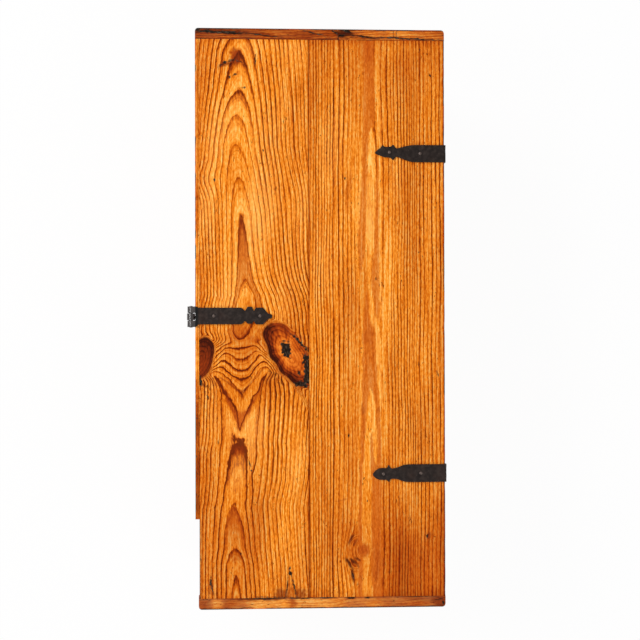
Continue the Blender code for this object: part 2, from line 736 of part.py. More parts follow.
def staple(board, parent):
    """A square bar bent to a loop, driven through the front wall and clinched inside."""
    half = STAPLE_BAR / 2
    x = HASP_X + BARREL_SHIFT
    nose = STAPLE_SPACING / 2
    bend = half + STAPLE_BEND
    inside = INNER_FRONT + bend
    leg = INNER_FRONT - (BOX_FRONT - STAPLE_REACH + half + nose)
    path = BendPath(inside, STAPLE_Z + nose + bend + STAPLE_CLINCH, -90.0)
    path.straight(STAPLE_CLINCH).arc(bend, -90.0).straight(leg).arc(nose, 180.0)
    path.straight(leg).arc(bend, -90.0).straight(STAPLE_CLINCH)
    outline = [(x - half, 0.0), (x + half, 0.0), (x + half, path.length), (x - half, path.length)]
    bm = bmesh.new()
    bent(bm, outline, path, -half, half)
    add("hasp_staple", bm, parent, IRON)
    bm = bmesh.new()
    room = half + FIT_GAP
    for z in (STAPLE_Z - nose, STAPLE_Z + nose):
        low = (x - room, BOX_FRONT - CUT_REACH, z - room)
        block(bm, low, (x + room, INNER_FRONT + CUT_REACH, z + room))
    cut(board, "front_upper_board.staple_holes", bm)


def main():
    for old in list(bpy.data.objects):
        bpy.data.objects.remove(old)
    chest = helper("chest_frame", (0.0, 0.0, 0.0))
    lid = helper("lid_hinge_axis", (0.0, HINGE_Y, HINGE_Z), chest)
    hasp = helper("hasp_axis", (HASP_X + BARREL_SHIFT, HASP_Y, HASP_Z), lid)

    boards = walls(chest)
    bottom(boards, chest)
    boards.update(lid_boards(lid))
    lid_holes = {"lid_front_board": lip(lid), "lid_back_board": []}
    for name, nail in cleats(lid):
        lid_holes[name].append(nail)

    left = (LEFT_STRAP_LENGTH, LEFT_FINIAL_LENGTH, LEFT_FINIAL_LEAN, LEFT_TIP_NAIL)
    right = (RIGHT_STRAP_LENGTH, RIGHT_FINIAL_LENGTH, RIGHT_FINIAL_LEAN, RIGHT_TIP_NAIL)
    strap_nails = []
    leaf_nails = []
    for end, x, sizes in (("left", LEFT_HINGE_X, left), ("right", RIGHT_HINGE_X, right)):
        on_lid, on_wall = hinge(end, x, *sizes, chest, lid)
        strap_nails += on_lid
        leaf_nails += on_wall
    add_nails("hinge_strap_nail", strap_nails, lid)
    add_nails("hinge_leaf_nail", leaf_nails, chest)
    lid_holes["lid_back_board"] += strap_nails
    drill(boards["back_upper_board"], leaf_nails)

    lid_holes["lid_front_board"] += hasp_strap(lid)
    for name, nails in lid_holes.items():
        drill(boards[name], nails)
    hasp_leaf(hasp)
    staple(boards["front_upper_board"], chest)


main()
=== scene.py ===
import json
import math

import bmesh
import bpy
import numpy as np
from mathutils import Matrix, Vector


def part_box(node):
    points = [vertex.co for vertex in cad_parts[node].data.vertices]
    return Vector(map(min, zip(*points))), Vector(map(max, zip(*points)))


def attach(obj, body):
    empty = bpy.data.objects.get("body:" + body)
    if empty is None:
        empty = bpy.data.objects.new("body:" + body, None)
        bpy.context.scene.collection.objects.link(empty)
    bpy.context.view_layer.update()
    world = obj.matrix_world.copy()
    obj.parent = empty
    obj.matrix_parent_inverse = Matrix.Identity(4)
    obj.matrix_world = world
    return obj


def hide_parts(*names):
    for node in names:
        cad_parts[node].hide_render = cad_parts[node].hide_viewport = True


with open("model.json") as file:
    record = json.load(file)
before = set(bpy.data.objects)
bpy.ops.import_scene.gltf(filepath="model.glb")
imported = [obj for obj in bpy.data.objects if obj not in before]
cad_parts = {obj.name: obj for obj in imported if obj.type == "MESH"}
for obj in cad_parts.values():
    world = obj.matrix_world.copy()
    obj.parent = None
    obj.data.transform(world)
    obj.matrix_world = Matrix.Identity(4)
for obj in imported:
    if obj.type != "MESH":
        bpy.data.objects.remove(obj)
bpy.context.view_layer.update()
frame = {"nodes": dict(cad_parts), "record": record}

# The lid is drawn in the photograph's pixels: u runs from front to back, v from left to right
PIXEL = 0.001571
MID_U = 320.9
MID_V = 318.8

# Lid, in metres
LID_TOP = 0.4029
LID_UNDER = 0.3829
LID_FRONT = -0.1910
LID_SEAM = -0.0195
LID_BACK = 0.1950
LID_END = 0.4372
TONGUE_HALF = 0.003
TONGUE_REACH = 0.007
BOARD_EDGE = 0.0009
CLEAT_OUTER = 0.4545
CLEAT_WIDTH = CLEAT_OUTER - LID_END
CLEAT_DROP = 0.020
CLEAT_CORNER = 0.005
CLEAT_EDGE = 0.0012
RIGHT_CLEAT_FRONT = -0.1923
LIP_FRONT = -0.1973
LIP_DROP = 0.008
LIP_END = 0.3135
LIP_EDGE = 0.0011
WALL_SEAM = 0.2225
FIT_GAP = 0.0003
NUDGE = 1e-6

# Relief of the wood and the iron, in metres
EARLY_WOOD_SINK = 0.00022
CRUST_SINK = 0.0007
WAVE_SINK = 0.00012
RELIEF_REACH = 0.004
EDGE_WEAR = 0.00035
EDGE_REACH = 0.0016
CLEAT_DENT = 0.0003
LIP_DENT = 0.0004
HAMMER_MARK = 0.00009

# Ironwork, in metres
STRAP_FACE = 0.4032
STRAP_THICKNESS = 0.002
STRAP_WIDTH = 0.0275
STRAP_BEND = 0.0015
STRAP_EDGE = 0.0005
STRAP_NECK = 0.012
LEFT_HINGE_X = -0.259
RIGHT_HINGE_X = 0.244
HINGE_Z = 0.3776
HINGE_INNER = 0.003
HINGE_OUTER = 0.005
HASP_X = -0.0035
HASP_Y = -0.2039
HASP_INNER = 0.0033
HASP_THICKNESS = 0.0022
HASP_LEAF_THICKNESS = 0.003
HASP_EDGE = 0.0009
HASP_NECK = 0.006
NECK_END = 0.0005
BARREL_LENGTH = 0.032
BARREL_SHIFT = 0.0011
ROLL_TURN = 285

# How finely shapes are cut: shares of an arc, steps in metres and degrees, and numbers of rows
ARC_SHARES = (0, 0.33, 0.67, 1)
STRAIGHT_STEP = 0.0012
ARC_STEP = 9
BOARD_STATIONS = 480
CLEAT_STATIONS = 300
LIP_STATIONS = 420
SHEET_COLUMNS = 16
NAIL_SIDES = 18
# Angles in degrees from which an edge counts as sharp, and below which a face counts as flat
SHARP_ANGLE = 35
SHEET_ANGLE = 50
SOLID_ANGLE = 40
FLAT_ANGLE = 1


# Numbers over arrays


def smooth(low, high, value):
    """0 below low, 1 above high, and the cubic 3t^2 - 2t^3 between; it falls where low is the greater."""
    t = np.clip((value - low) / (high - low), 0, 1)
    return t * t * (3 - 2 * t)


def between(span, value):
    """1 inside and 0 outside a span of (start, full, last, gone), smooth on both flanks."""
    start, full, last, gone = span
    return smooth(start, full, value) * smooth(gone, last, value)


def mixed(a, b, share):
    """A straight mix: a at share 0, b at share 1."""
    return a + (b - a) * share


def table(pairs, value):
    """Straight lines through a list of (place, value) pairs."""
    places, values = zip(*pairs)
    return np.interp(value, places, values)


def ripple(seed, u, v, wave_u, wave_v, count=9):
    """Smooth noise of about +-1: a sum of sine waves with seeded random directions and phases."""
    draw = np.random.default_rng(seed)
    total = 0
    for _ in range(count):
        across = draw.normal() / wave_u
        along = draw.normal() / wave_v
        total = total + np.sin(2 * np.pi * (across * u + along * v + draw.random()))
    return total / math.sqrt(count)


def oval(u, v, spot):
    """Distance from an oval's middle, 1 on its rim; spot is (u, v, half u, half v, tilt)."""
    middle_u, middle_v, half_u, half_v, tilt = spot
    turn = math.radians(tilt)
    du = u - middle_u
    dv = v - middle_v
    p = (du * math.cos(turn) + dv * math.sin(turn)) / half_u
    q = (dv * math.cos(turn) - du * math.sin(turn)) / half_v
    return np.sqrt(p * p + q * q) + NUDGE


def flow_round(u, v, spot, strength):
    """Grain lines part round an oval: u is drawn to its middle by strength / distance^3."""
    away = np.maximum(oval(u, v, spot), 1)
    return spot[0] + (u - spot[0]) * (1 - strength / away**3)


# Meshes


def place(name, mesh, body, slot, *finishes):
    """Links a finished mesh, which stands for the CAD node of that name and rides on a body."""
    for finish in finishes:
        mesh.materials.append(finish)
    piece = bpy.data.objects.new("worn_" + name, mesh)
    bpy.context.scene.collection.objects.link(piece)
    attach(piece, body)
    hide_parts(name)
    return piece


def shaded(mesh):
    """Smooth shading that breaks at edges."""
    mesh.shade_smooth()
    mesh.set_sharp_from_angle(angle=math.radians(SHARP_ANGLE))


def softened(piece, width, angle):
    """Bevels the edges that turn by more than an angle."""
    soft = piece.modifiers.new("soft_edges", "BEVEL")
    soft.width = width
    soft.segments = 2
    soft.limit_method = "ANGLE"
    soft.angle_limit = math.radians(angle)


def marked(mesh, field, values):
    """Point attribute of numbers, or of colours where the values have a third axis."""
    kind, key = ("FLOAT_COLOR", "color") if values.ndim == 3 else ("FLOAT", "value")
    mesh.attributes.new(field, kind, "POINT").data.foreach_set(key, values.astype(np.float32).ravel())


def tube(name, points, **fields):
    """A closed skin from points[station, profile point]; the profile closes on itself.

    Each end is closed by one face, and the fields become point attributes.
    """
    rows, cols = points.shape[:2]
    index = np.arange(rows * cols).reshape(rows, cols)
    after = np.roll(index, -1, axis=1)
    quads = np.stack([index[:-1], after[:-1], after[1:], index[1:]], axis=-1).reshape(-1, 4)
    faces = quads.tolist() + [index[0, ::-1].tolist(), index[-1].tolist()]
    mesh = bpy.data.meshes.new(name)
    mesh.from_pydata(points.reshape(-1, 3).tolist(), [], faces)
    bm = bmesh.new()
    bm.from_mesh(mesh)
    bmesh.ops.recalc_face_normals(bm, faces=bm.faces)
    bm.to_mesh(mesh)
    bm.free()
    shaded(mesh)
    for field, values in fields.items():
        marked(mesh, field, values)
    return mesh


def rounded_loop(corners, radius, counts):
    """Closed profile: each corner becomes a 4-point arc, each side is cut into counts parts.

    The arc is the quadratic curve with the corner as its middle point.
    """
    corners = np.asarray(corners, float)
    out = []
    total = len(corners)
    for k in range(total):
        here = corners[k]
        before = corners[k - 1]
        after = corners[(k + 1) % total]
        into = (here - before) / np.linalg.norm(here - before)
        away = (after - here) / np.linalg.norm(after - here)
        start = here - into * radius
        stop = here + away * radius
        for t in ARC_SHARES:
            out.append((1 - t) ** 2 * start + 2 * t * (1 - t) * here + t * t * stop)
        finish = after - away * radius
        for t in np.linspace(0, 1, counts[k] + 1)[1:-1]:
            out.append(stop + (finish - stop) * t)
    return np.array(out)


# Node trees


def linear(red, green, blue):
    """Linear colour of an sRGB one out of 255."""
    share = np.array([red, green, blue]) / 255
    low = share / 12.92
    high = ((share + 0.055) / 1.055) ** 2.4
    return (*np.where(share <= 0.04045, low, high).tolist(), 1)


def feed(socket, value):
    """Links a value to an input, or sets the input to a plain number, vector or colour."""
    if isinstance(value, Value):
        socket.id_data.links.new(value.socket, socket)
    else:
        socket.default_value = value


class Outputs:
    """A node's outputs as values, by name or number."""

    def __init__(self, node):
        self.node = node

    def __getitem__(self, key):
        return Value(self.node.outputs[key])


def put(tree, kind, values={}, **settings):
    """Adds a node, sets its properties, feeds its inputs and gives its outputs."""
    node = tree.nodes.new("ShaderNode" + kind)
    for key, value in settings.items():
        setattr(node, key, value)
    for key, value in values.items():
        feed(node.inputs[key], value)
    return Outputs(node)


def operator(operation, swapped=False):
    """A method that adds a math node for a value and another value or number."""
    def reckon(self, other=0):
        values = {0: other, 1: self} if swapped else {0: self, 1: other}
        return self.put("Math", values, operation=operation)[0]
    return reckon


class Value:
    """A node's output that can be reckoned with: operators and methods add nodes to its tree."""

    __add__ = operator("ADD")
    __sub__ = operator("SUBTRACT")
    __rsub__ = operator("SUBTRACT", True)
    __mul__ = operator("MULTIPLY")
    __truediv__ = operator("DIVIDE")
    __rtruediv__ = operator("DIVIDE", True)
    __pow__ = operator("POWER")
    __abs__ = operator("ABSOLUTE")
    most = operator("MAXIMUM")
    floor = operator("FLOOR")
    fraction = operator("FRACT")
    root = operator("SQRT")

    def __init__(self, socket):
        self.socket = socket

    def put(self, kind, values, **settings):
        """Adds a node to the value's own tree."""
        return put(self.socket.id_data, kind, values, **settings)

    def spread(self, low, high, to_low=0, to_high=1):
        """Maps low to high onto to_low to to_high, clamped."""
        return self.put("MapRange", {0: self, 1: low, 2: high, 3: to_low, 4: to_high})[0]

    def blend(self, share, other, kind="MIX"):
        """This colour, mixed with another by a share."""
        return self.put("Mix", {0: share, 6: self, 7: other}, data_type="RGBA", blend_type=kind)[2]

    def ramp(self, stops):
        """Colour ramp through (place, sRGB colour out of 255 or grey level out of 1) stops."""
        made = self.put("ValToRGB", {0: self})
        elements = made.node.color_ramp.elements
        while len(elements) < len(stops):
            elements.new(0.5)
        for element, (spot, colour) in zip(elements, stops):
            element.position = spot
            element.color = linear(*colour) if isinstance(colour, tuple) else (colour,) * 3 + (1,)
        return made[0]

    def parts(self):
        """The three values of a vector."""
        return self.put("SeparateXYZ", {0: self})

    def turned(self, turn):
        return self.put("Mapping", {"Vector": self, "Rotation": turn})[0]

    def noise(self, scale=1, detail=2, roughness=0.5):
        values = {"Vector": self, "Scale": scale, "Detail": detail, "Roughness": roughness}
        return self.put("TexNoise", values)[0]

    def stretched(self, *stretch):
        """A vector, multiplied in x, y and z."""
        return self.put("VectorMath", {0: self, 1: stretch}, operation="MULTIPLY")[0]

    def fibres(self, along, across, detail=2, roughness=0.5):
        """Noise drawn out along the grain, which runs along X."""
        return self.stretched(along, across, across).noise(1, detail, roughness)


def join(x, y, z=0):
    """A vector of three values."""
    return x.put("CombineXYZ", {0: x, 1: y, 2: z})[0]


def group(name, inputs, outputs):
    """A shader node group; its sockets named Vector and Color are of that kind, the others are numbers."""
    tree = bpy.data.node_groups.new(name, "ShaderNodeTree")
    for way, labels in (("INPUT", inputs), ("OUTPUT", outputs)):
        for label in labels:
            kind = label if label in ("Vector", "Color") else "Float"
            tree.interface.new_socket(name=label, in_out=way, socket_type="NodeSocket" + kind)
    return tree, Outputs(tree.nodes.new("NodeGroupInput")), tree.nodes.new("NodeGroupOutput").inputs


def material(name):
    """A new material, its node tree and its shader."""
    made = bpy.data.materials.new(name)
    made.use_nodes = True
    return made, made.node_tree, made.node_tree.nodes["Principled BSDF"]


# Finishes

# How dark the wood is from one ring line to the next
LATE_WOOD = [(0, 1), (0.12, 0.86), (0.27, 0.34), (0.45, 0.1), (0.85, 0), (0.95, 0.2), (1, 1)]
PINE_TONES = [
    (0, (255, 196, 106)), (0.14, (255, 172, 70)), (0.3, (248, 146, 36)), (0.48, (224, 116, 12)),
    (0.7, (182, 78, 2)), (1, (110, 36, 0)),
]
KNOT_TONES = [(0, (242, 136, 42)), (0.3, (204, 92, 16)), (0.6, (148, 52, 8)), (1, (60, 16, 4))]
BARK_TONES = [(0.3, (18, 10, 6)), (0.55, (44, 33, 25)), (0.7, (92, 78, 64))]
IRON_TONES = [(0.3, (27, 18, 14)), (0.5, (37, 27, 23)), (0.75, (56, 45, 39))]
# Tints that darken the wood, the first for darker tones and the second for the deepest; they carry darker
# wood, grime and painted shade alike
SHADED_PINE = linear(208, 168, 122)
GRIME_AND_SHADE_PINE = linear(176, 138, 104)
BLEACHED_PINE = linear(255, 190, 104)
DUSTY_PINE = linear(190, 136, 84)
PIT_BROWN = linear(92, 38, 8)
RUST_BROWN = linear(56, 37, 28)
RUBBED_IRON = linear(186, 158, 146)
# Colour of the painted shadow on iron next to a rolled knuckle
PAINTED_SHADOW_BLACK = linear(8, 6, 5)
PINE_GLOSS = 0.05
IRON_GLOSS = 0.34
IRON_METAL = 0.35
POLISH_ROUGHNESS = 0.3
POLISH_IOR = 2
BUMP_STRENGTH = 0.5
PINE_BUMP = 0.0006
IRON_BUMP = 0.0004


def pine_finish_group():
    """Oiled, worn pine from a ring count: pale early wood, dark late wood, fibres and marks.

    The grain runs along the vector's X. Tone darkens below 0, where pieces also put painted shade, and
    bleaches above it.
    """
    made, given, result = group(
        "pine_finish",
        ["Vector", "Ring", "Tone", "Knot", "Heart", "Black", "Lines", "Dust"],
        ["Color", "Roughness", "Height"],
    )
    vector = given["Vector"]
    x, _, z = vector.parts()
    ring = given["Ring"] + vector.fibres(90, 210).spread(0.2, 0.8, -0.07, 0.07)
    lot = ring.put("TexWhiteNoise", {"W": ring.floor()}, noise_dimensions="1D")[0]
    drift = vector.fibres(6, 45).spread(0.3, 0.7, -0.2, 0.32)
    strength = (lot.spread(0, 1, 0.38, 0.82) + drift) * given["Lines"]
    late = (ring.fraction().ramp(LATE_WOOD) * strength).spread(0, 1)

    lines = join(x * 5, given["Ring"] * 4.3, z * 30).noise(1, 4, 0.7)
    fibre = vector.fibres(22, 640, 3, 0.6)
    grain = vector.fibres(150, 430, 2, 0.6)
    fine = lines.spread(0.25, 0.75, -0.24, 0.34) * given["Lines"].spread(0, 1, 0.5, 1)
    streak = fibre.spread(0.3, 0.7, -0.2, 0.2) + grain.spread(0.3, 0.7, -0.17, 0.17)
    colour = (late + fine + streak + 0.18).ramp(PINE_TONES)

    shade = vector.fibres(4, 16, 3).spread(0.3, 0.7, -0.1, 0.45) - given["Tone"]
    colour = colour.blend(shade.spread(0, 1), SHADED_PINE, "MULTIPLY")
    colour = colour.blend(shade.spread(0.9, 1.9), GRIME_AND_SHADE_PINE, "MULTIPLY")
    pale = given["Tone"].spread(0.05, 1) * fibre.spread(0.35, 0.65, 0.5, 1)
    colour = colour.blend(pale * late.spread(0, 0.6, 1, 0.1), BLEACHED_PINE)

    fleck = vector.fibres(190, 520)
    cluster = vector.fibres(30, 60, 1)
    colour = colour.blend(given["Dust"] * cluster.spread(0.35, 0.65, 0.4, 1), DUSTY_PINE)
    pits = (fleck + cluster.spread(0.3, 0.75, -0.1, 0.06)).spread(0.67, 0.73, 0, 0.8)
    colour = colour.blend(pits, PIT_BROWN)

    depth = given["Heart"] + grain.spread(0.3, 0.7, -0.1, 0.1) + late * 0.35
    colour = colour.blend(given["Knot"], depth.ramp(KNOT_TONES))
    crust = (given["Black"] + fleck.spread(0.3, 0.7, -0.14, 0.14)).spread(0.34, 0.66)
    feed(result["Color"], colour.blend(crust, fleck.ramp(BARK_TONES)))
    feed(result["Roughness"], fibre.spread(0.3, 0.7, 0.46, 0.62) + crust * 0.25)
    feed(result["Height"], late * 0.4 + lines * 0.5 - crust.most(pits))
    return made


def ring_count_group():
    """Rings of a whole log: distance from its heart line, which wanders, less a taper along the grain.

    The grain runs along X, the board's face lies in X and Z, and Y goes into the board.
    """
    made, given, result = group(
        "ring_count", ["Vector", "Heart Y", "Heart Z", "Spacing", "Taper"], ["Ring"])
    vector, heart_y, heart_z, spacing, taper = (given[k] for k in range(5))
    x, y, z = vector.parts()
    sway = join(x + heart_z * 7, heart_y, heart_z)
    across = z - heart_z + sway.fibres(1.8, 9).spread(0.2, 0.8, -0.016, 0.016)
    deep = y - heart_y + sway.fibres(1.4, 5).spread(0.2, 0.8, -0.014, 0.014)
    radius = (across * across + deep * deep).root()
    radius = radius + vector.fibres(7, 42).spread(0, 1, -0.0026, 0.0026)
    radius = radius + join(radius, heart_y).noise(70, 1).spread(0, 1, -0.006, 0.006)
    feed(result["Ring"], (radius - x * taper) / spacing)
    return made


def knot_flow_group():
    """A round knot in a board's face: the grain parts round it, and Reach is 1 on its rim."""
    made, given, result = group(
        "knot_flow", ["Vector", "Knot X", "Knot Z", "Size"], ["Vector", "Reach", "Inside"])
    vector = given["Vector"]
    x, y, z = vector.parts()
    dx = (x - given["Knot X"]) / 1.35
    dz = z - given["Knot Z"]
    reach = (dx * dx + dz * dz).root() / given["Size"]
    reach = reach * vector.fibres(60, 60).spread(0.2, 0.8, 0.86, 1.14)
    pull = 0.85 / reach.most(1) ** 2.5
    feed(result["Vector"], join(x, y, z - dz * pull))
    feed(result["Reach"], reach)
    feed(result["Inside"], reach.spread(0.94, 1.04, 1, 0))
    return made


def forged_iron_group():
    """Blackened wrought iron: mottled scale, a brown tint in patches, rubbed places and pits, and a painted
    shadow where its shadow input is high.
    """
    made, given, result = group(
        "forged_iron", ["Vector", "Rubbed", "Soot"], ["Color", "Roughness", "Height"])
    vector = given["Vector"]
    scale = vector.noise(160, 4, 0.6)
    patch = vector.noise(48, 3, 0.55)
    grit = vector.noise(700)
    colour = scale.ramp(IRON_TONES).blend(patch.spread(0.5, 0.75, 0, 0.6), RUST_BROWN)
    colour = colour.blend(given["Rubbed"] + grit.spread(0.72, 0.8, 0, 0.3), RUBBED_IRON)
    # The painted shadow darkens the iron
    feed(result["Color"], colour.blend(given["Soot"], PAINTED_SHADOW_BLACK))
    feed(result["Roughness"], scale.spread(0.3, 0.7, 0.36, 0.52))
    feed(result["Height"], scale * 0.75 + grit * 0.15)
    return made


PINE_FINISH = pine_finish_group()
RING_COUNT = ring_count_group()
KNOT_FLOW = knot_flow_group()
FORGED_IRON = forged_iron_group()


def finished(shader, body, bump, gloss):
    """Takes a finish group's outputs to the shader."""
    relief = {"Height": body["Height"], "Strength": BUMP_STRENGTH, "Distance": bump}
    feed(shader.inputs["Base Color"], body["Color"])
    feed(shader.inputs["Roughness"], body["Roughness"])
    feed(shader.inputs["Normal"], body["Height"].put("Bump", relief)[0])
    feed(shader.inputs["Specular IOR Level"], gloss)


def lid_pine(name, turn, dust):
    """Pine that reads its rings and marks from the piece; turn lays the fibres along its length."""
    made, tree, shader = material(name)
    ring, tone, marks = (put(tree, "Attribute", attribute_name=field) for field in ("ring", "tone", "marks"))
    knot, heart, black = put(tree, "SeparateColor", {0: marks["Color"]})
    body = put(tree, "Group", node_tree=PINE_FINISH, values={
        "Vector": put(tree, "TexCoord")["Object"].turned((0, 0, turn)), "Dust": dust,
        "Ring": ring["Fac"], "Tone": tone["Fac"], "Knot": knot, "Heart": heart, "Black": black,
        "Lines": marks["Alpha"],
    })
    finished(shader, body, PINE_BUMP, PINE_GLOSS)
    return made


def board_pine(name, turn, heart, spacing, taper, shade, knots):
    """Pine of a whole board with its own place in the log, its knots, end grain, grime and painted shade.

    The turn lays its grain along X and its face into X and Z. The wood grows darker towards the floor,
    grime darkens the seam between the boards, and painted shade darkens the wood under the lid.
    """
    made, tree, shader = material(name)
    spots = put(tree, "TexCoord")
    bent = spots["Object"].turned(turn)
    end = abs(spots["Normal"].turned(turn).parts()[0]).spread(0.6, 0.9)
    flows = []
    for along, across, size in knots:
        values = {"Vector": bent, "Knot X": along, "Knot Z": across, "Size": size}
        flows.append(put(tree, "Group", values, node_tree=KNOT_FLOW))
        bent = flows[-1]["Vector"]
    log = {"Vector": bent, "Heart Y": heart[0], "Heart Z": heart[1], "Spacing": spacing, "Taper": taper}
    ring = put(tree, "Group", log, node_tree=RING_COUNT)["Ring"]
    knot = 0
    dark = 0
    for flow in flows:
        _, reach, inside = flow
        ring = ring + (reach * -4 - ring) * inside
        knot = inside.most(reach.spread(1, 1.9, 0.5, 0)).most(knot)
        dark = (reach.spread(0.2, 1, 0.42, 0.78) * inside).most(dark)
    height = spots["Object"].parts()[2]
    smeared = height + spots["Object"].stretched(9, 9, 26).noise(1, 3).spread(0.2, 0.8, -0.018, 0.018)
    # Darker towards the floor, painted shade under the lid, dark grime along the seam, and darker end grain
    grime_and_shade = smeared.spread(0.05, 0, 0, 0.9).most(smeared.spread(0.34, 0.385, 0, 0.7))
    grime_and_shade = grime_and_shade.most(abs(height - WALL_SEAM).spread(0.009, 0, 0, 0.8)).most(end * 1.1)
    body = put(tree, "Group", node_tree=PINE_FINISH, values={
        "Vector": bent, "Ring": ring, "Tone": shade - grime_and_shade, "Knot": knot, "Heart": dark,
        "Lines": end.spread(0, 1, 0.85, 0.55),
    })
    finished(shader, body, PINE_BUMP, PINE_GLOSS)
    return made


def iron(name, rubbed, polish):
    """Wrought iron; polish is the thin shine of parts that are turned and handled."""
    made, tree, shader = material(name)
    feed(shader.inputs["Coat Weight"], polish)
    feed(shader.inputs["Coat Roughness"], POLISH_ROUGHNESS)
    feed(shader.inputs["Coat IOR"], POLISH_IOR)
    feed(shader.inputs["Metallic"], IRON_METAL)
    spot = put(tree, "TexCoord")["Object"]
    # Painted shadow, read from the piece's attribute
    painted_shadow = put(tree, "Attribute", attribute_name="painted_shadow")["Fac"]
    values = {"Vector": spot, "Soot": painted_shadow, "Rubbed": rubbed}
    finished(shader, put(tree, "Group", values, node_tree=FORGED_IRON), IRON_BUMP, IRON_GLOSS)
    return made


STRAP_IRON = iron("strap_iron", 0, 0)
BARREL_IRON = iron("barrel_iron", 0, 0.6)
NAIL_IRON = iron("nail_iron", 0.18, 0.1)
LID_PINE = lid_pine("lid_pine", 0, 0)
LEFT_CLEAT_PINE = lid_pine("left_cleat_pine", math.pi / 2, 0.1)
RIGHT_CLEAT_PINE = lid_pine("right_cleat_pine", math.pi / 2, 0.28)


# Figure of the lid boards

# Tables of (v, value) in pixels: heart lines, their depths under the face, and the power of the rings
FRONT_HEART = [
    (28, 236), (60, 236), (91, 237), (117, 236.5), (147, 236), (179, 239), (216, 241.5), (260, 243.5),
    (296, 245), (332, 238), (345, 239), (395, 241), (430, 239.5), (444, 238.5), (480, 237), (508, 233),
    (548, 234), (612, 236),
]
FRONT_DEPTH = [
    (20, 35), (28, 34), (52, 30), (91, 26), (117, 22), (147, 18), (179, 14), (216, 10), (250, 7.5),
    (284, 5), (300, 3.5), (318, 4.5), (332, 7), (341, 10), (348, 14), (620, 20),
]
LOWER_DEPTH = [
    (375, 9), (380, 10), (395, 12), (412, 13.5), (430, 15.5), (443, 15.7), (455, 14.2), (507, 10),
    (512, 9.3), (520, 8.2), (530, 7), (540, 5.8), (551, 5), (575, 3), (612, 1.5),
]
LOWER_POWER = [(440, 3), (500, 2)]
# The flame above the hasp and the arches below the two knots lie round a deeper heart and have their
# own inner rings of (radius, count)
FLAME_DEPTH = [(179, 16.7), (216, 13.5), (255, 12.4), (282, 11), (290, 9.8), (300, 8.2), (312, 6.5)]
FLAME_INNER = [(0, -1.95), (9.4, -1.7), (11, -1), (13.5, 0)]
FLAME_SUNK = 9.07
ARCH_DEPTH = [
    (443, 20.5), (506, 16.5), (520, 14.9), (534, 13.1), (548, 12.5), (556, 10.6), (563, 8.5), (600, 5),
]
ARCH_INNER = [(0, -4), (7.2, -2), (12.5, -1), (16.5, 0)]
ARCH_SUNK = 13.15
BACK_HEART = 370
BACK_DEPTH = [
    (20, 6), (80, 7.4), (130, 7), (180, 3.5), (240, 2.2), (285, 4.2), (300, 5.5), (360, 6.8), (392, 4.2),
    (415, 2), (433, 4.2), (445, 6), (475, 5), (520, 3), (560, 6), (612, 7),
]
# The first count of a ring table, and how far the lower rings' counts are ahead of the upper ones
FIRST_COUNT = -2
RINGS_LOST = 7
# Reach in pixels over which one side's rings go over into the other's
HEART_BLEND = 4


def ring_table(radii, *further):
    """(radius, count) pairs: the counts rise by one from FIRST_COUNT, then come further pairs."""
    return [(radius, FIRST_COUNT + k) for k, radius in enumerate(radii)] + list(further)


def deepened(inner, rings, sunk):
    """A ring table for a deeper heart: radii of sqrt(radius^2 + sunk^2) keep the outer lines in place."""
    return inner + [(math.hypot(radius, sunk), count) for radius, count in rings if count > 0]


# Ring tables of the left and the right side of each heart
FRONT_RINGS = [
    ring_table([0, 5, 10, 14, 18, 22, 25.5, 29, 32.5, 35.5, 38.5, 41.5, 44.5], (60, 15), (120, 35)),
    ring_table([0, 5, 10, 14, 18, 22, 26, 30, 34, 38, 42, 46, 50, 53.5, 57, 61, 65, 68.5, 72], (120, 28)),
]
LOWER_RINGS = [
    ring_table([0, 5, 10, 15.7, 21, 25, 28.5, 32, 35, 38, 41], (60, 14), (120, 34)),
    ring_table([0, 5, 10, 15.7, 21, 26, 31, 36, 40, 44, 48, 52, 56, 60, 63.5, 67, 71], (120, 26)),
]
BACK_RINGS = [
    ring_table([0, 4, 8, 13, 16, 19.5, 23, 27.5, 32, 38,
                41, 44, 46.5, 49.5, 52.5, 55, 57.5, 60.5, 64], (120, 35)),
    ring_table([0, 4, 8, 14, 19.5, 23, 25.5, 29, 32, 35, 38,
                40.5, 43, 45, 47.5, 51, 55, 59, 63, 67, 71, 75], (120, 30)),
]
FLAME_RINGS = [deepened(FLAME_INNER, rings, FLAME_SUNK) for rings in FRONT_RINGS]
ARCH_RINGS = [deepened(ARCH_INNER, rings, ARCH_SUNK) for rings in LOWER_RINGS]

# Lines that hang between the two knots: the ridges beside the knots, and the counts on and between them
HANG_MIDDLE = [(395, 241.5), (430, 239)]
RIDGE_CAP = 1.85
HANG_COUNT = [(336, 8.2), (348.5, 7), (359.7, 6), (370.9, 5), (380, 4), (394.9, 3), (429, 2), (441, 1)]
LEFT_RIDGE = [
    (336, 230), (347.7, 226), (351.6, 224.3), (359.7, 222), (366, 219.3), (371, 216), (375, 213),
    (380, 216), (395, 222.5), (412, 226.5), (434, 232),
]
LEFT_COUNT = [(336, 8), (347.7, 7), (351.6, 6.2), (359.7, 5), (366, 4), (371, 3), (375, 2.1)]
LEFT_SLOPE = [(345, 0.2), (360, 0.25), (375, 0.3)]
RIGHT_RIDGE = [
    (336, 252), (344.5, 254), (351, 255.5), (355.4, 260), (361.6, 264.5), (366.6, 266.5), (372, 267),
    (380, 263.5), (395, 258.5), (411, 254.5), (432, 247),
]
RIGHT_COUNT = [(336, 8), (344.5, 7), (351, 6), (355.4, 5), (361.6, 4), (366.6, 3), (372, 2.1)]
RIGHT_SLOPE = [(345, 0.28), (355, 0.31), (365, 0.42), (375, 0.35)]
HANG_SIDES = [(LEFT_RIDGE, LEFT_COUNT, LEFT_SLOPE, -1), (RIGHT_RIDGE, RIGHT_COUNT, RIGHT_SLOPE, 1)]

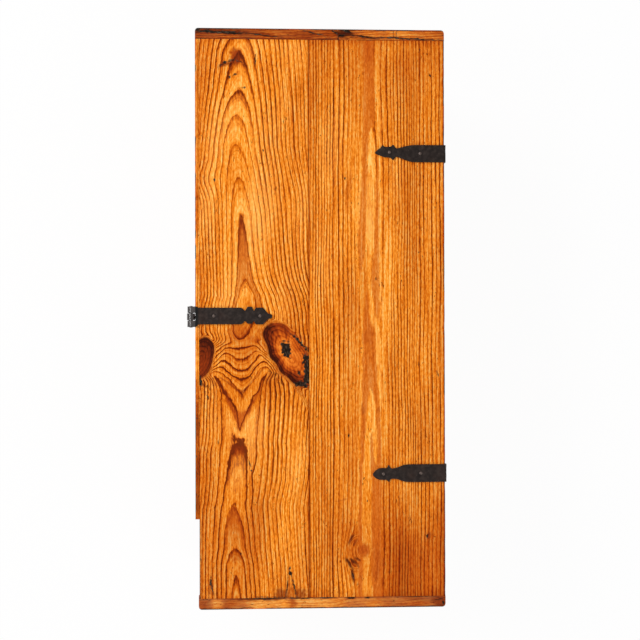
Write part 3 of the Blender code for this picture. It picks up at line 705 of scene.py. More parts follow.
# Knots: u, v, half u, half v and tilt; then how strongly the grain parts round each, the heart of the
# big one, and how far it sweeps the lines above it aside
BIG_KNOT = (288, 354.5, 17, 37, -33)
EDGE_KNOT = (200, 360, 13, 24, 20)
SMALL_KNOT = (357, 553, 10.5, 19, 6)
KNOT_EYE = (363, 549, 9, 13, 15)
BIG_KNOT_FLOW = 0.5
EDGE_KNOT_FLOW = 0.6
SMALL_KNOT_FLOW = 0.85
BIG_KNOT_HEART = (287, 353)
KNOT_SWEEP = 21

# Where the front board's parts begin and end, in pixels, with the slant at which the hanging lines
# begin and the power that thins the lines near the heart
UNDERSIDE = (6, 10)
SWEEP_V = (250, 345)
SWEEP_U = (240, 278)
FLAME_SPAN = (185, 212, 312, 322)
HANG_START = (338, 349)
HANG_SLANT = 1.6
HANG_SLANT_U = 268
HANG_SETTLED = (372, 384)
RIDGE_CAPPED = (370, 378)
POINTED = (378, 396)
HANG_GONE = (430, 441)
ARCH_START = (441, 454)
UNDERSIDE_SWITCH = (260, 460)
HEART_REACH = (36, 14)
EDGE_KNOT_TOP = (374, 340)
BARE_EDGE = (200.9, 199.9)
LIP_BREAK = (516, 519)
STRONG_LINES = (325, 345, 390, 440)
FAINT_LINES = (440, 520)
BELOW_HASP = (320, 345)
LINE_POWER = 0.76

# Dark fills of the front board, in pixels: two pointed lines, the last arch and the flame, which is
# filled between ring counts
BROAD_POINT = 429.5
FIRST_POINT = 395
ARCH_TIP = 506
ARCH_FADE = (556, 512)
BURN_COUNTS = (-1.1, -0.9, -0.12, 0.04)
BURN_SPAN = (209, 215, 318, 326)
BURN_FADE = (240, 300)

# Ovals of u, v, half u, half v and tilt: bulges of the grain with how far they push it
FRONT_BULGES = [(199, 180, 20, 15, 0, 6), (299, 196, 11, 24, 0, -3), (252, 476, 7, 12, 0, 3.5)]
# Black spots, holes and splits
FRONT_BLACK = [
    (285.5, 350, 4.6, 9, -12), (307, 366, 4, 11.5, -4), (301, 385, 7, 3.2, 12), (306.5, 379, 2.6, 5, 0),
    (298.5, 374, 1.2, 3, -20), (299.5, 343, 1.3, 14, -45), (223.5, 65, 5.5, 1.1, -32),
    (231.5, 61.5, 4, 0.8, -24), (240, 63, 3, 0.7, 20), (229.5, 79, 0.9, 1.8, 30),
    (235, 76, 2.6, 0.9, -10), (242, 88.7, 4, 0.6, 0), (210.4, 580, 1.1, 4.4, -4),
    (212, 587.5, 0.6, 4.5, -14), (289.3, 573.5, 1.4, 2.2, 0), (286.3, 586, 0.7, 10, 7),
    (293, 586, 0.8, 10.5, -14), (289, 568, 0.8, 1.6, 20), (199.5, 381, 2.2, 6, -20),
    (255.5, 61.5, 0.6, 5.5, 0), (249, 463, 0.7, 3.4, -16), (251, 471, 1.2, 1, 0), (207, 396, 0.6, 4, -25),
    (218, 443, 0.7, 2, 0), (213.6, 465, 0.6, 0.9, 0), (240, 553, 0.7, 1.2, 0), (214.7, 181, 0.9, 1.3, 0),
    (263.3, 151, 0.8, 1, 0), (275, 596.7, 20, 0.7, 1),
]
BACK_BLACK = [
    (348, 436, 0.9, 2.2, 20), (427, 537, 1.1, 2.6, 25), (366.5, 502, 0.7, 1, 0), (401, 431, 0.7, 0.9, 0),
    (376, 279, 0.8, 1.4, 0), (438, 376, 0.6, 3, -10), (431, 75, 0.8, 2.6, -30), (420.5, 50, 0.7, 1.4, 0),
    (345, 179, 1, 1.2, 0), (361, 349, 0.6, 0.8, 0), (339, 39, 1, 2, 0), (322, 598, 10, 0.6, 0),
    (352, 576, 0.8, 3.5, -8), (345.5, 598.5, 8, 0.6, 0),
]
# Brown stains with how strongly they cover and how dark they are
FRONT_STAIN = [
    (236, 58, 6.5, 9, 0, 0.95, 0.56), (227.5, 64.5, 9, 2.2, -30, 0.8, 0.7),
    (237, 332, 9, 9, 0, 0.6, 0.42), (289, 592, 4.5, 9, 0, 0.5, 0.5), (281, 594, 8, 6, 0, 0.75, 0.68),
    (299, 593, 6, 6, 0, 0.7, 0.68), (300, 384, 11, 7, 10, 0.5, 0.42), (253, 340, 6, 2.4, 20, 0.45, 0.42),
    (237.5, 449, 8, 6, 0, 0.8, 0.42), (234, 556, 7, 5, 0, 0.45, 0.5), (280, 372, 10, 3, 42, 0.35, 0.42),
    (209, 375, 4, 9, 25, 0.35, 0.42), (212, 381, 3, 7, -35, 0.45, 0.6), (268.5, 379, 3, 9, 35, 0.45, 0.6),
    (211, 587, 2.5, 8, -8, 0.5, 0.6), (272, 372.5, 1.2, 3.4, -45, 0.75, 0.85),
    (277.5, 376.5, 1.3, 3.4, -40, 0.8, 0.9), (281, 381, 1.3, 3.6, -30, 0.8, 0.9),
    (276, 382, 1.1, 3, -25, 0.7, 0.8), (202.5, 385, 1.2, 3.6, -40, 0.75, 0.85),
    (206.5, 388, 1.2, 3.4, -35, 0.75, 0.85),
]
BACK_STAIN = [
    (368, 55, 7, 17, 0, 0.8, 0.36), (368.5, 336, 7, 12, 0, 0.8, 0.38), (376, 565, 6, 28, 0, 0.8, 0.42),
    (362.6, 551, 6.8, 7.6, 0, 0.95, 0.42), (362.3, 411, 1.8, 7, 0, 0.75, 0.52),
    (378.3, 411, 1.5, 4.5, 0, 0.75, 0.52), (378.3, 420, 1.5, 3.5, 0, 0.7, 0.48),
    (420, 560, 22, 24, 0, 0.2, 0.3), (350, 539.5, 2, 6.5, 32, 0.9, 0.78),
    (354.5, 542.5, 1.6, 4.6, 32, 0.75, 0.68), (347.6, 563, 2.1, 6.2, -36, 0.95, 0.9),
    (352.8, 561.8, 5.6, 1.9, 42, 0.95, 0.88), (356.8, 559.5, 4.4, 1.6, 30, 0.9, 0.82),
    (357, 566, 1.6, 3.8, -30, 0.75, 0.72), (351.8, 574, 2.1, 8.5, -6, 0.92, 0.85),
    (348, 195, 3, 22, 6, 0.4, 0.35), (428.5, 537, 2.2, 4, 25, 0.7, 0.6),
    (367, 348, 7.5, 0.9, -4, 0.55, 0.52), (343, 500, 9, 0.8, -13, 0.55, 0.5),
]
# Broad shades with how much lighter or darker they are
FRONT_CLOUDS = [
    (228, 550, 42, 62, 0, -0.55), (222, 58, 40, 34, 0, -0.35), (222, 343, 42, 20, 0, -0.4),
    (235, 425, 50, 24, 0, 0.3), (270, 384, 12, 20, 30, -0.6), (294, 130, 16, 90, 0, -0.2),
    (204, 215, 10, 40, 0, 0.25),
]
BACK_CLOUDS = [
    (405, 60, 48, 34, 0, -0.5), (340, 150, 14, 80, 0, 0.25), (352, 300, 20, 80, 0, -0.2),
    (350, 440, 20, 80, 0, -0.35), (356, 545, 34, 30, 0, -0.4), (318, 220, 10, 120, 0, 0.2),
]
# Shades of how much lighter or darker, from one pixel place to another, across and along the board
FRONT_SHADES_U = [(-0.25, 212, 200), (-0.7, 306, 308)]
FRONT_SHADES_V = [(0.16, 330, 200), (0.08, 400, 480), (-0.4, 46, 39), (-0.2, 592, 597)]
BACK_SHADES_U = [(-0.3, 430, 444), (-1, 442.8, 444.6), (-0.7, 309.8, 308.6), (-0.1, 350, 320)]
BACK_SHADES_V = [(-0.4, 48, 40), (-0.35, 588, 598)]
# Dull corner, crusted edge, bright oval and calm line of the back board
BACK_DULL_U = (360, 400)
BACK_DULL_V = (470, 560)
BACK_CRUST = (443.4, 444.3)
BACK_BRIGHT = (369.5, 230, 4, 16, 0)
BACK_CALM_U = 363
# Broad stripes of the back board's heart in the order they are laid: dark below 0 or pale above,
# and rows of (v, left u, right u)
BACK_STRIPES = [
    (-0.6, [
        (36, 362.5, 374), (80, 363, 374.5), (115, 362.5, 375.5), (130, 362.5, 372), (142, 362.5, 368.5),
        (170, 361.5, 367.5), (190, 360.8, 367), (205, 359.8, 366.8), (240, 357.6, 365.5),
        (256, 357.2, 364.5), (270, 358.2, 361.5), (282, 359, 359.5),
    ]),
    (-0.6, [
        (95, 380, 380.4), (125, 380.2, 382.5), (165, 376.8, 380), (200, 375.2, 378.8),
        (240, 374.6, 379.2), (270, 371, 379.3), (285, 371.4, 379.8), (300, 373, 379.6), (322, 376.5, 379),
    ]),
    (-0.66, [
        (290, 366, 366.5), (300, 364.8, 367.8), (312, 364, 368.5), (322, 363, 370), (328, 362.3, 374.5),
        (345, 362, 375.6), (380, 361.8, 376.8), (405, 360.8, 379.5), (420, 360.8, 380.5), (460, 359, 381),
        (525, 357.5, 381), (598, 357, 381.5),
    ]),
    (0.33, [
        (126, 371, 371.6), (140, 369, 374.5), (160, 368, 376), (200, 367.2, 375), (220, 366.2, 375),
        (238, 366, 374), (252, 367, 372.5), (268, 368, 371), (285, 368.4, 371), (300, 368.6, 372.5),
        (315, 369, 374.5), (325, 371, 377), (331, 375.6, 380.2), (358, 375.6, 381), (366, 377.6, 381.5),
        (390, 378.4, 381.8), (410, 381, 383),
    ]),
    (0.3, [
        (36, 375, 378.5), (70, 375.2, 379), (100, 376.6, 379.8), (140, 378.5, 381), (200, 379.3, 381.4),
        (290, 380, 382), (322, 380, 382),
    ]),
    (0.3, [
        (150, 359.8, 361.4), (190, 358.9, 360.8), (225, 357, 359), (245, 356, 357.7), (265, 356.8, 358.6),
        (290, 358, 360.5), (317, 359.8, 362), (380, 360, 361.8), (430, 358.2, 360), (490, 356.4, 358.3),
        (525, 354.5, 357),
    ]),
    (0.3, [
        (387, 370, 370.3), (394, 368.5, 372), (402, 366.6, 374.6), (430, 365, 376), (445, 364, 377),
        (465, 362.3, 376), (480, 361.6, 371.3), (525, 360.6, 371), (560, 362, 370.5), (598, 361, 372),
    ]),
    (-0.66, [
        (431, 371, 371.2), (440, 370, 372.6), (458, 369.4, 373), (470, 370, 377), (485, 371, 380.5),
        (560, 371, 381), (600, 373.5, 381),
    ]),
]


def counted(side, depth, rings, power=2):
    """Rings round a heart: tables of (|side|^power + depth^power)^(1/power), one for each side."""
    left, right = rings
    radius = (np.abs(side) ** power + depth**power) ** (1 / power)
    return mixed(table(left, radius), table(right, radius), smooth(-HEART_BLEND, HEART_BLEND, side))


def hanging(u, v, parted, lower):
    """Rings between the knots: the count falls from the middle to a ridge beside each knot.

    The fall is (1 - t^2)^2 in the rounded lines above and (1 - t)^1.2 in the pointed ones below.
    Beyond a ridge it rises again, and lower down it goes over into the lower rings.
    """
    total = 0
    settling = smooth(*HANG_SETTLED, v)
    middle = table(HANG_COUNT, v)
    mid_u = table(HANG_MIDDLE, v)
    for ridge, count, slope, side in HANG_SIDES:
        edge = table(ridge, v)
        met = lower(edge)
        low = mixed(table(count, v), met, settling)
        low = mixed(low, np.minimum(low, RIDGE_CAP), smooth(*RIDGE_CAPPED, v))
        t = np.clip((u - mid_u) / (edge - mid_u), 0, 1)
        fall = mixed((1 - t * t) ** 2, (1 - t) ** 1.2, smooth(*POINTED, v))
        beyond = np.maximum(side * (u - edge), 0)
        settled = lower(mixed(u, parted, smooth(0, 8, beyond))) - (met - low) * np.exp(-beyond / 3)
        outside = mixed(low + table(slope, v) * beyond**2 / (beyond + 2), settled, settling)
        inside = low + (middle - low) * fall
        here = np.where(beyond > 0, outside, inside)
        total = total + here * (side * (u - mid_u) >= 0)
    return total


def spotted(u, v, spots, seed):
    """Marks from a list of ovals, each roughened in step with its size."""
    total = np.zeros_like(u)
    wave_u = 0.35 * ripple(seed, u, v, 6, 7)
    wave_v = 0.35 * ripple(seed + 1, u, v, 7, 7)
    for spot in spots:
        half_u, half_v = spot[2:4]
        rough = oval(u + min(half_u, 4) * wave_u, v + min(half_v, 4) * wave_v, spot)
        total = np.maximum(total, np.clip(0.5 + (1 - rough) * min(half_u, half_v) / 2.4, 0, 1))
    return total


def stained(u, v, rough_u, rough_v, stains, knot, heart, inner=0.6, broad=1):
    """Lays brown stains over knots: ovals, roughened in step with their half v up to broad.

    Where a stain covers more than what lies there, its own darkness holds.
    """
    for *spot, share, dark in stains:
        large = min(1, spot[3] / broad)
        rough = oval(mixed(u, rough_u, large), mixed(v, rough_v, large), spot)
        stain = share * smooth(1.3, inner, rough)
        heart = np.where(stain > knot, dark, heart)
        knot = np.maximum(knot, stain)
    return knot, heart


def clouded(u, v, clouds):
    """Broad shades: each oval's amount, falling off as exp(-distance^2)."""
    total = 0
    for *spot, amount in clouds:
        total = total + amount * np.exp(-oval(u, v, spot) ** 2)
    return total


def graded(where, shades):
    """Sum of shades that grow smoothly from one place to another."""
    return sum(amount * smooth(low, high, where) for amount, low, high in shades)


def striped(u, v, rows):
    """Cover of a long stripe between two edges that join its rows, soft over about one pixel."""
    places, left, right = zip(*rows)
    inside = np.minimum(u - np.interp(v, places, left), np.interp(v, places, right) - u)
    first, last = places[0], places[-1]
    return smooth(-0.6, 0.8, inside) * between((first - 2, first + 4, last - 4, last + 2), v)


def front_rings(u0, v, deep, under):
    """Ring count of the front board without its knots, and the count in the flame.

    Rings are cylinders round a heart line that rises and sinks under the face. Below the hasp a
    second heart takes over, and between the two knots the lines hang from one knot to the other.
    """
    heart = table(FRONT_HEART, v)
    power = table(LOWER_POWER, v)
    u = u0
    for bulge in FRONT_BULGES:
        u = u + clouded(u, v, [bulge])
    u = u + 0.5 * ripple(3, u0, v, 90, 190) + 0.16 * ripple(4, u0, v, 16, 70)
    swept = u - KNOT_SWEEP * smooth(*SWEEP_V, v) ** 1.5 * smooth(*SWEEP_U, u)
    swept = mixed(flow_round(swept, v, EDGE_KNOT, EDGE_KNOT_FLOW), swept, under)
    upper = counted(swept - heart, table(FRONT_DEPTH, v) + deep, FRONT_RINGS)
    flame = counted(swept - heart, table(FLAME_DEPTH, v) + deep, FLAME_RINGS)
    upper = mixed(upper, flame, between(FLAME_SPAN, v))

    def lower(place):
        return counted(place - heart, table(LOWER_DEPTH, v) + deep, LOWER_RINGS, power)

    parted = flow_round(u, v, BIG_KNOT, BIG_KNOT_FLOW)
    parted = mixed(flow_round(parted, v, EDGE_KNOT, EDGE_KNOT_FLOW), u, under)
    loose_u = u + 0.5 * ripple(11, u0, v, 40, 40) + 0.25 * ripple(17, u0, v, 9, 9)
    loose_v = v + 0.8 * ripple(12, u0, v, 30, 40) + 0.35 * ripple(18, u0, v, 8, 8)
    gone = np.maximum(smooth(*HANG_GONE, v), under)
    below = mixed(hanging(loose_u, loose_v, parted, lower), lower(parted), gone)
    arches = counted(parted - heart, table(ARCH_DEPTH, v) + deep, ARCH_RINGS, power)
    below = mixed(below, arches, smooth(*ARCH_START, v))
    switch = smooth(*HANG_START, v - HANG_SLANT * np.maximum(u0 - HANG_SLANT_U, 0))
    switch = mixed(switch, smooth(*UNDERSIDE_SWITCH, v), under)
    return -mixed(upper, below - RINGS_LOST, switch), flame


def front_fill(u, v, flame):
    """Cover and darkness of the dark fills: a broad V, a thin one over it, an arch and the flame.

    Each V lies between a line through its point and an inner line; the arch's half width is
    1.55 (v - tip)^0.56, and the flame is filled between two ring counts.
    """
    across = u - table(HANG_MIDDLE, v) - 0.6 * ripple(16, u, v, 20, 14)
    aside = np.abs(across)
    point = v - (BROAD_POINT - 2.15 * aside)
    inner = -18 + 1.7 * np.minimum(aside, 7.5)
    fill = 0.85 * smooth(inner - 2, inner + 3, point) * smooth(1.2, -0.4, point) * smooth(*POINTED, v)
    point = v - (FIRST_POINT - np.where(across < 0, 0.8, 1.2) * aside)
    inner = -4.5 + 0.5 * np.minimum(aside, 6)
    stroke = smooth(inner - 1, inner + 1, point) * smooth(1, -0.4, point)
    stroke = 0.75 * stroke * smooth(25, 19, aside)
    dark = 0.4 + 0.22 * (stroke > fill)
    fill = np.maximum(fill, stroke)
    from_heart = np.abs(u - table(FRONT_HEART, v) - 0.5 * ripple(20, u, v, 20, 14))
    arch = 1.55 * np.maximum(v - ARCH_TIP, 0) ** 0.56 - from_heart
    fill = np.maximum(fill, 0.75 * smooth(-0.6, 0.9, arch) * smooth(*ARCH_FADE, v))
    burn = between(BURN_COUNTS, flame) * between(BURN_SPAN, v)
    return np.maximum(fill, burn * mixed(0.66, 0.46, smooth(*BURN_FADE, v))), dark


def front_figure(u, v, deep):
    """Ring count, tone and marks of the front board: its rings, two knots, stains and dark fills.

    Inside a knot the count is a multiple of the distance from its middle. Near the heart the late
    wood is drawn thinner: the part of a ring is raised to LINE_POWER.
    """
    under = smooth(*UNDERSIDE, deep)
    above = 1 - under
    ring, flame = front_rings(u, v, deep, under)
    near = smooth(*HEART_REACH, np.abs(u - table(FRONT_HEART, v))) * above
    ring = np.floor(ring) + np.mod(ring, 1) ** mixed(1, LINE_POWER, near)

    big = oval(u, v, BIG_KNOT) * (1 + 0.05 * ripple(6, u, v, 36, 36))
    edge = oval(u, v, EDGE_KNOT) * (1 + 0.04 * ripple(7, u, v, 30, 30))
    ring = mixed(ring, -7 * big, smooth(1.1, 0.97, big) * above)
    ring = mixed(ring, -5 * edge, smooth(1.1, 0.95, edge) * above)
    in_big = smooth(1.06, 0.96, big)
    in_edge = smooth(1.05, 0.95, edge)
    from_u = u - BIG_KNOT_HEART[0]
    from_v = v - BIG_KNOT_HEART[1]
    leftward = smooth(16, -14, from_u - 0.45 * from_v)
    rim = smooth(0.3, 0.92, big) * (0.3 + 0.7 * leftward)
    streaks = 0.12 * ripple(13, np.arctan2(from_v, from_u) * 40, big, 14, 2)
    edge_dark = 0.64 + 0.2 * smooth(0.5, 1, edge) + 0.2 * smooth(*EDGE_KNOT_TOP, v)
    heart = np.maximum(in_big * (0.1 + 0.9 * rim + streaks), in_edge * edge_dark)
    heart = np.where(in_big + in_edge > 0.5, heart, 0.45)
    halo = 0.5 * smooth(1.5, 1.05, big) * (1 - in_big) * (0.5 + 0.5 * ripple(19, u, v, 10, 14))
    knot = np.maximum(np.maximum(in_big, in_edge), halo)

    black = spotted(u, v, FRONT_BLACK, 8)
    black = np.maximum(black, 0.6 * smooth(*BARE_EDGE, u) * smooth(*LIP_BREAK, v))
    rough_u = u + 1.4 * ripple(14, u, v, 9, 12)
    rough_v = v + 1.4 * ripple(15, u, v, 9, 12)
    knot, heart = stained(u, v, rough_u, rough_v, FRONT_STAIN, knot, heart)
    fill, dark = front_fill(u, v, flame)
    heart = np.where(fill > knot, dark, heart)
    knot = np.maximum(knot, fill)
    tone = 0.14 * ripple(10, u, v, 60, 160) + graded(u, FRONT_SHADES_U) + graded(v, FRONT_SHADES_V)
    tone = tone + clouded(u, v, FRONT_CLOUDS)
    lines = 1 + 0.6 * between(STRONG_LINES, v) - 0.2 * smooth(*FAINT_LINES, v)
    lines = lines + near * mixed(0.06, 0.3, smooth(*BELOW_HASP, v))
    lines = lines * (1 - 0.6 * np.maximum(in_edge, 0.3 * in_big))
    marks = np.stack([knot * above, heart, black * above, mixed(lines, 1, under)], axis=-1)
    return ring, tone, marks


def back_figure(u0, v, deep):
    """Ring count, tone and marks of the back board: one heart band, straight lines beside it."""
    above = 1 - smooth(*UNDERSIDE, deep)
    u = flow_round(u0, v, SMALL_KNOT, SMALL_KNOT_FLOW)
    u = u + 0.5 * ripple(21, u0, v, 70, 240) + 0.16 * ripple(22, u0, v, 12, 90)
    u = u + 1.2 * ripple(23, u0, v, 60, 130) * np.exp(-(((u0 - BACK_HEART) / 12) ** 2))
    ring = -counted(u - BACK_HEART, table(BACK_DEPTH, v) + deep, BACK_RINGS)
    in_knot = smooth(1.1, 0.7, oval(u0, v, SMALL_KNOT))
    ring = mixed(ring, -3.2 * oval(u0, v, KNOT_EYE), in_knot)

    knot = 0.25 * in_knot
    heart = np.full_like(u0, 0.33)
    lines = 1 - 0.5 * np.exp(-(((u0 - BACK_CALM_U) / 13) ** 2))
    pale = np.zeros_like(u0)
    wavy = u0 + 0.45 * ripple(34, u0, v, 30, 16) + 0.2 * ripple(35, u0, v, 9, 6)
    for amount, rows in BACK_STRIPES:
        cover = above * striped(wavy, v, rows)
        knot = mixed(knot, max(-amount, 0), cover)
        pale = mixed(pale, max(amount, 0), cover)
        lines = mixed(lines, 0.25, cover)
    black = spotted(u0, v, BACK_BLACK, 24)
    ragged = smooth(-1.2, 0.4, ripple(33, u0, v, 60, 60))
    black = np.maximum(black, 0.6 * smooth(*BACK_CRUST, u0) * ragged)
    rough_u = u0 + 0.9 * ripple(28, u0, v, 7, 30)
    rough_v = v + 3 * ripple(29, u0, v, 7, 30)
    knot, heart = stained(u0, v, rough_u, rough_v, BACK_STAIN, knot, heart, inner=0.5, broad=20)
    tone = pale + 0.3 * smooth(1.5, 0.2, oval(rough_u, rough_v, BACK_BRIGHT))
    tone = tone + 0.14 * ripple(30, u0, v, 60, 200) - 0.07
    tone = tone - 0.5 * smooth(*BACK_DULL_V, v) * smooth(*BACK_DULL_U, u0)
    tone = tone + graded(u0, BACK_SHADES_U) + graded(v, BACK_SHADES_V) + clouded(u0, v, BACK_CLOUDS)
    return ring, tone, np.stack([knot * above, heart, black * above, lines], axis=-1)


# Lid boards, end strips and front strip

# How many parts each side of a profile is cut into
FRONT_CUTS = [6, 150, 3, 2, 2, 2, 3, 16]
BACK_CUTS = [16, 3, 2, 2, 2, 3, 149, 6]
CLEAT_CUTS = [10, 26, 16, 8]
LIP_CUTS = [18, 9, 10, 4]
# The part of a ring that is early wood
EARLY_WOOD = (0.05, 0.5, 0.9, 1)
# Ring spacing of the strips in pixels, and where the end strips' rings cross their middle
CLEAT_SPACING = 2.6
CLEAT_MIDDLE_U = 320
LIP_SPACING = 1.9
# End strips: black spots, brown stains and the tone along them
LEFT_CLEAT_BLACK = [
    (209, 32.9, 13, 1.3, 2), (229, 34, 16, 1.2, 3), (262, 36.2, 16, 0.6, 6), (197.5, 30.5, 2.2, 2.2, 0),
    (334.5, 33, 5, 1, 52), (341, 36.5, 4.5, 1.3, -8), (347, 31.5, 4, 1.6, 20), (366, 37, 14, 0.9, 7),
    (412, 38.6, 34, 0.8, 2), (394, 34, 0.4, 4, 0), (397, 34, 0.4, 4, 0), (338.5, 39.2, 1, 1.4, 0),
    (312, 33.4, 12, 0.6, 14),
]
LEFT_CLEAT_STAIN = [
    (344, 33.5, 9, 5.5, 0, 0.95, 0.97), (331, 33, 6, 5, 20, 0.6, 0.66), (222, 33, 30, 2.2, 3, 0.85, 0.85),
    (262, 35.6, 16, 1.6, 8, 0.8, 0.75), (300, 34, 30, 1.8, 4, 0.6, 0.64), (270, 31, 40, 1, 1, 0.5, 0.6),
    (360, 37.2, 22, 1.4, 7, 0.7, 0.7), (198, 31, 6, 4, 0, 0.8, 0.9),
]
LEFT_CLEAT_TONE = [(195, -1.4), (250, -1.25), (330, -1.2), (352, -0.7), (400, -0.6), (444, -0.9)]
RIGHT_CLEAT_BLACK = [
    (262, 597.8, 22, 0.9, 0), (302, 597.8, 14, 0.7, 0), (326, 597.8, 8, 0.9, 0), (350, 598.2, 4, 1, 0),
    (366, 598, 4, 0.7, 0), (438, 600.5, 6, 0.5, -12), (442.5, 604, 1.4, 2, 0), (240, 607, 10, 0.4, -4),
]
RIGHT_CLEAT_STAIN = [
    (438, 601.5, 9, 5, 0, 0.75, 0.72), (258, 598.2, 28, 1.6, 1, 0.7, 0.75), (202, 603, 6, 5, 0, 0.5, 0.5),
    (291.5, 602, 5, 4, 10, 0.5, 0.52), (229, 603, 6, 4, 10, 0.4, 0.5), (222, 609, 24, 1.2, 0, 0.7, 0.75),
    (410, 605, 30, 2, -2, 0.5, 0.5),
]
RIGHT_CLEAT_TONE = [
    (195, -1.5), (209, -1.1), (214, 0.2), (219, 0), (224, -1.1), (242, -0.9), (256, -0.1), (284, -0.3),
    (291, -1.1), (298, -0.1), (322, -0.1), (345, -0.8), (385, -1), (430, -1.4), (445, -1.9),
]
# For each end strip: first random seed, strength of its lines, finish, spots, stains and tone
LEFT_CLEAT = (40, 0.8, LEFT_CLEAT_PINE, LEFT_CLEAT_BLACK, LEFT_CLEAT_STAIN, LEFT_CLEAT_TONE)
RIGHT_CLEAT = (50, 0.5, RIGHT_CLEAT_PINE, RIGHT_CLEAT_BLACK, RIGHT_CLEAT_STAIN, RIGHT_CLEAT_TONE)
# Front strip: tone along it, and where it is specked, bright, coarse and ragged, in pixels
LIP_TONE = [(37, -0.5), (60, -0.3), (150, -0.2), (390, -0.15), (405, -1.1), (520, -1.2)]
LIP_SPECKS = (400, 420)
LIP_BRIGHT = (150, 180, 370, 400)
LIP_COARSE = (395, 410)
LIP_RAGGED = (518, 519.6)


def carried(profile, stations):
    """Points of a profile in Y and Z that is carried along X."""
    points = np.empty((len(stations), len(profile), 3))
    points[..., 0] = stations[:, None]
    points[..., 1:] = profile
    return points


def lid_pixels(points):
    """u, v and the depth under the lid's face, in pixels."""
    x, y, z = np.moveaxis(points, -1, 0)
    return y / PIXEL + MID_U, x / PIXEL + MID_V, np.maximum(LID_TOP - z, 0) / PIXEL


def board(name, figure, profile, mid):
    """A lid board: a profile carried along X, its face lowered in the early wood, its edges worn."""
    points = carried(profile, np.linspace(-LID_END, LID_END, BOARD_STATIONS))
    u, v, deep = lid_pixels(points)
    ring, tone, marks = figure(u, v, deep)
    top = smooth(RELIEF_REACH, 0, LID_TOP - points[..., 2])
    sink = EARLY_WOOD_SINK * between(EARLY_WOOD, np.mod(ring, 1))
    sink = sink + CRUST_SINK * smooth(0.2, 0.8, marks[..., 2])
    sink = sink + WAVE_SINK * (1 + ripple(31, u, v, 60, 90)) / 2
    points[..., 2] -= sink * top
    worn = EDGE_WEAR * np.abs(ripple(32, u, v, 30, 22))
    edge = smooth(0, EDGE_REACH, LID_TOP - points[..., 2]) * top
    points[..., 1] -= np.sign(points[..., 1] - mid) * worn * edge
    place(name, tube(name, points, ring=ring, tone=tone, marks=marks), "lid", "lid_pine", LID_PINE)


def lid_boards():
    """The front board with its tongue and the back board with its groove."""
    middle = (LID_TOP + LID_UNDER) / 2
    tip = LID_SEAM + TONGUE_REACH
    low, high = middle - TONGUE_HALF, middle + TONGUE_HALF
    front = [(LID_FRONT, LID_UNDER), (LID_FRONT, LID_TOP), (LID_SEAM, LID_TOP), (LID_SEAM, high),
             (tip, high), (tip, low), (LID_SEAM, low), (LID_SEAM, LID_UNDER)]
    profile = rounded_loop(front, BOARD_EDGE, FRONT_CUTS)
    board("lid_front_board", front_figure, profile, (LID_FRONT + LID_SEAM) / 2)
    edge = LID_SEAM + FIT_GAP
    bottom = tip + FIT_GAP
    low, high = low - FIT_GAP, high + FIT_GAP
    back = [(LID_BACK, LID_UNDER), (edge, LID_UNDER), (edge, low), (bottom, low),
            (bottom, high), (edge, high), (edge, LID_TOP), (LID_BACK, LID_TOP)]
    profile = rounded_loop(back, BOARD_EDGE, BACK_CUTS)
    board("lid_back_board", back_figure, profile, (LID_BACK + LID_SEAM) / 2)


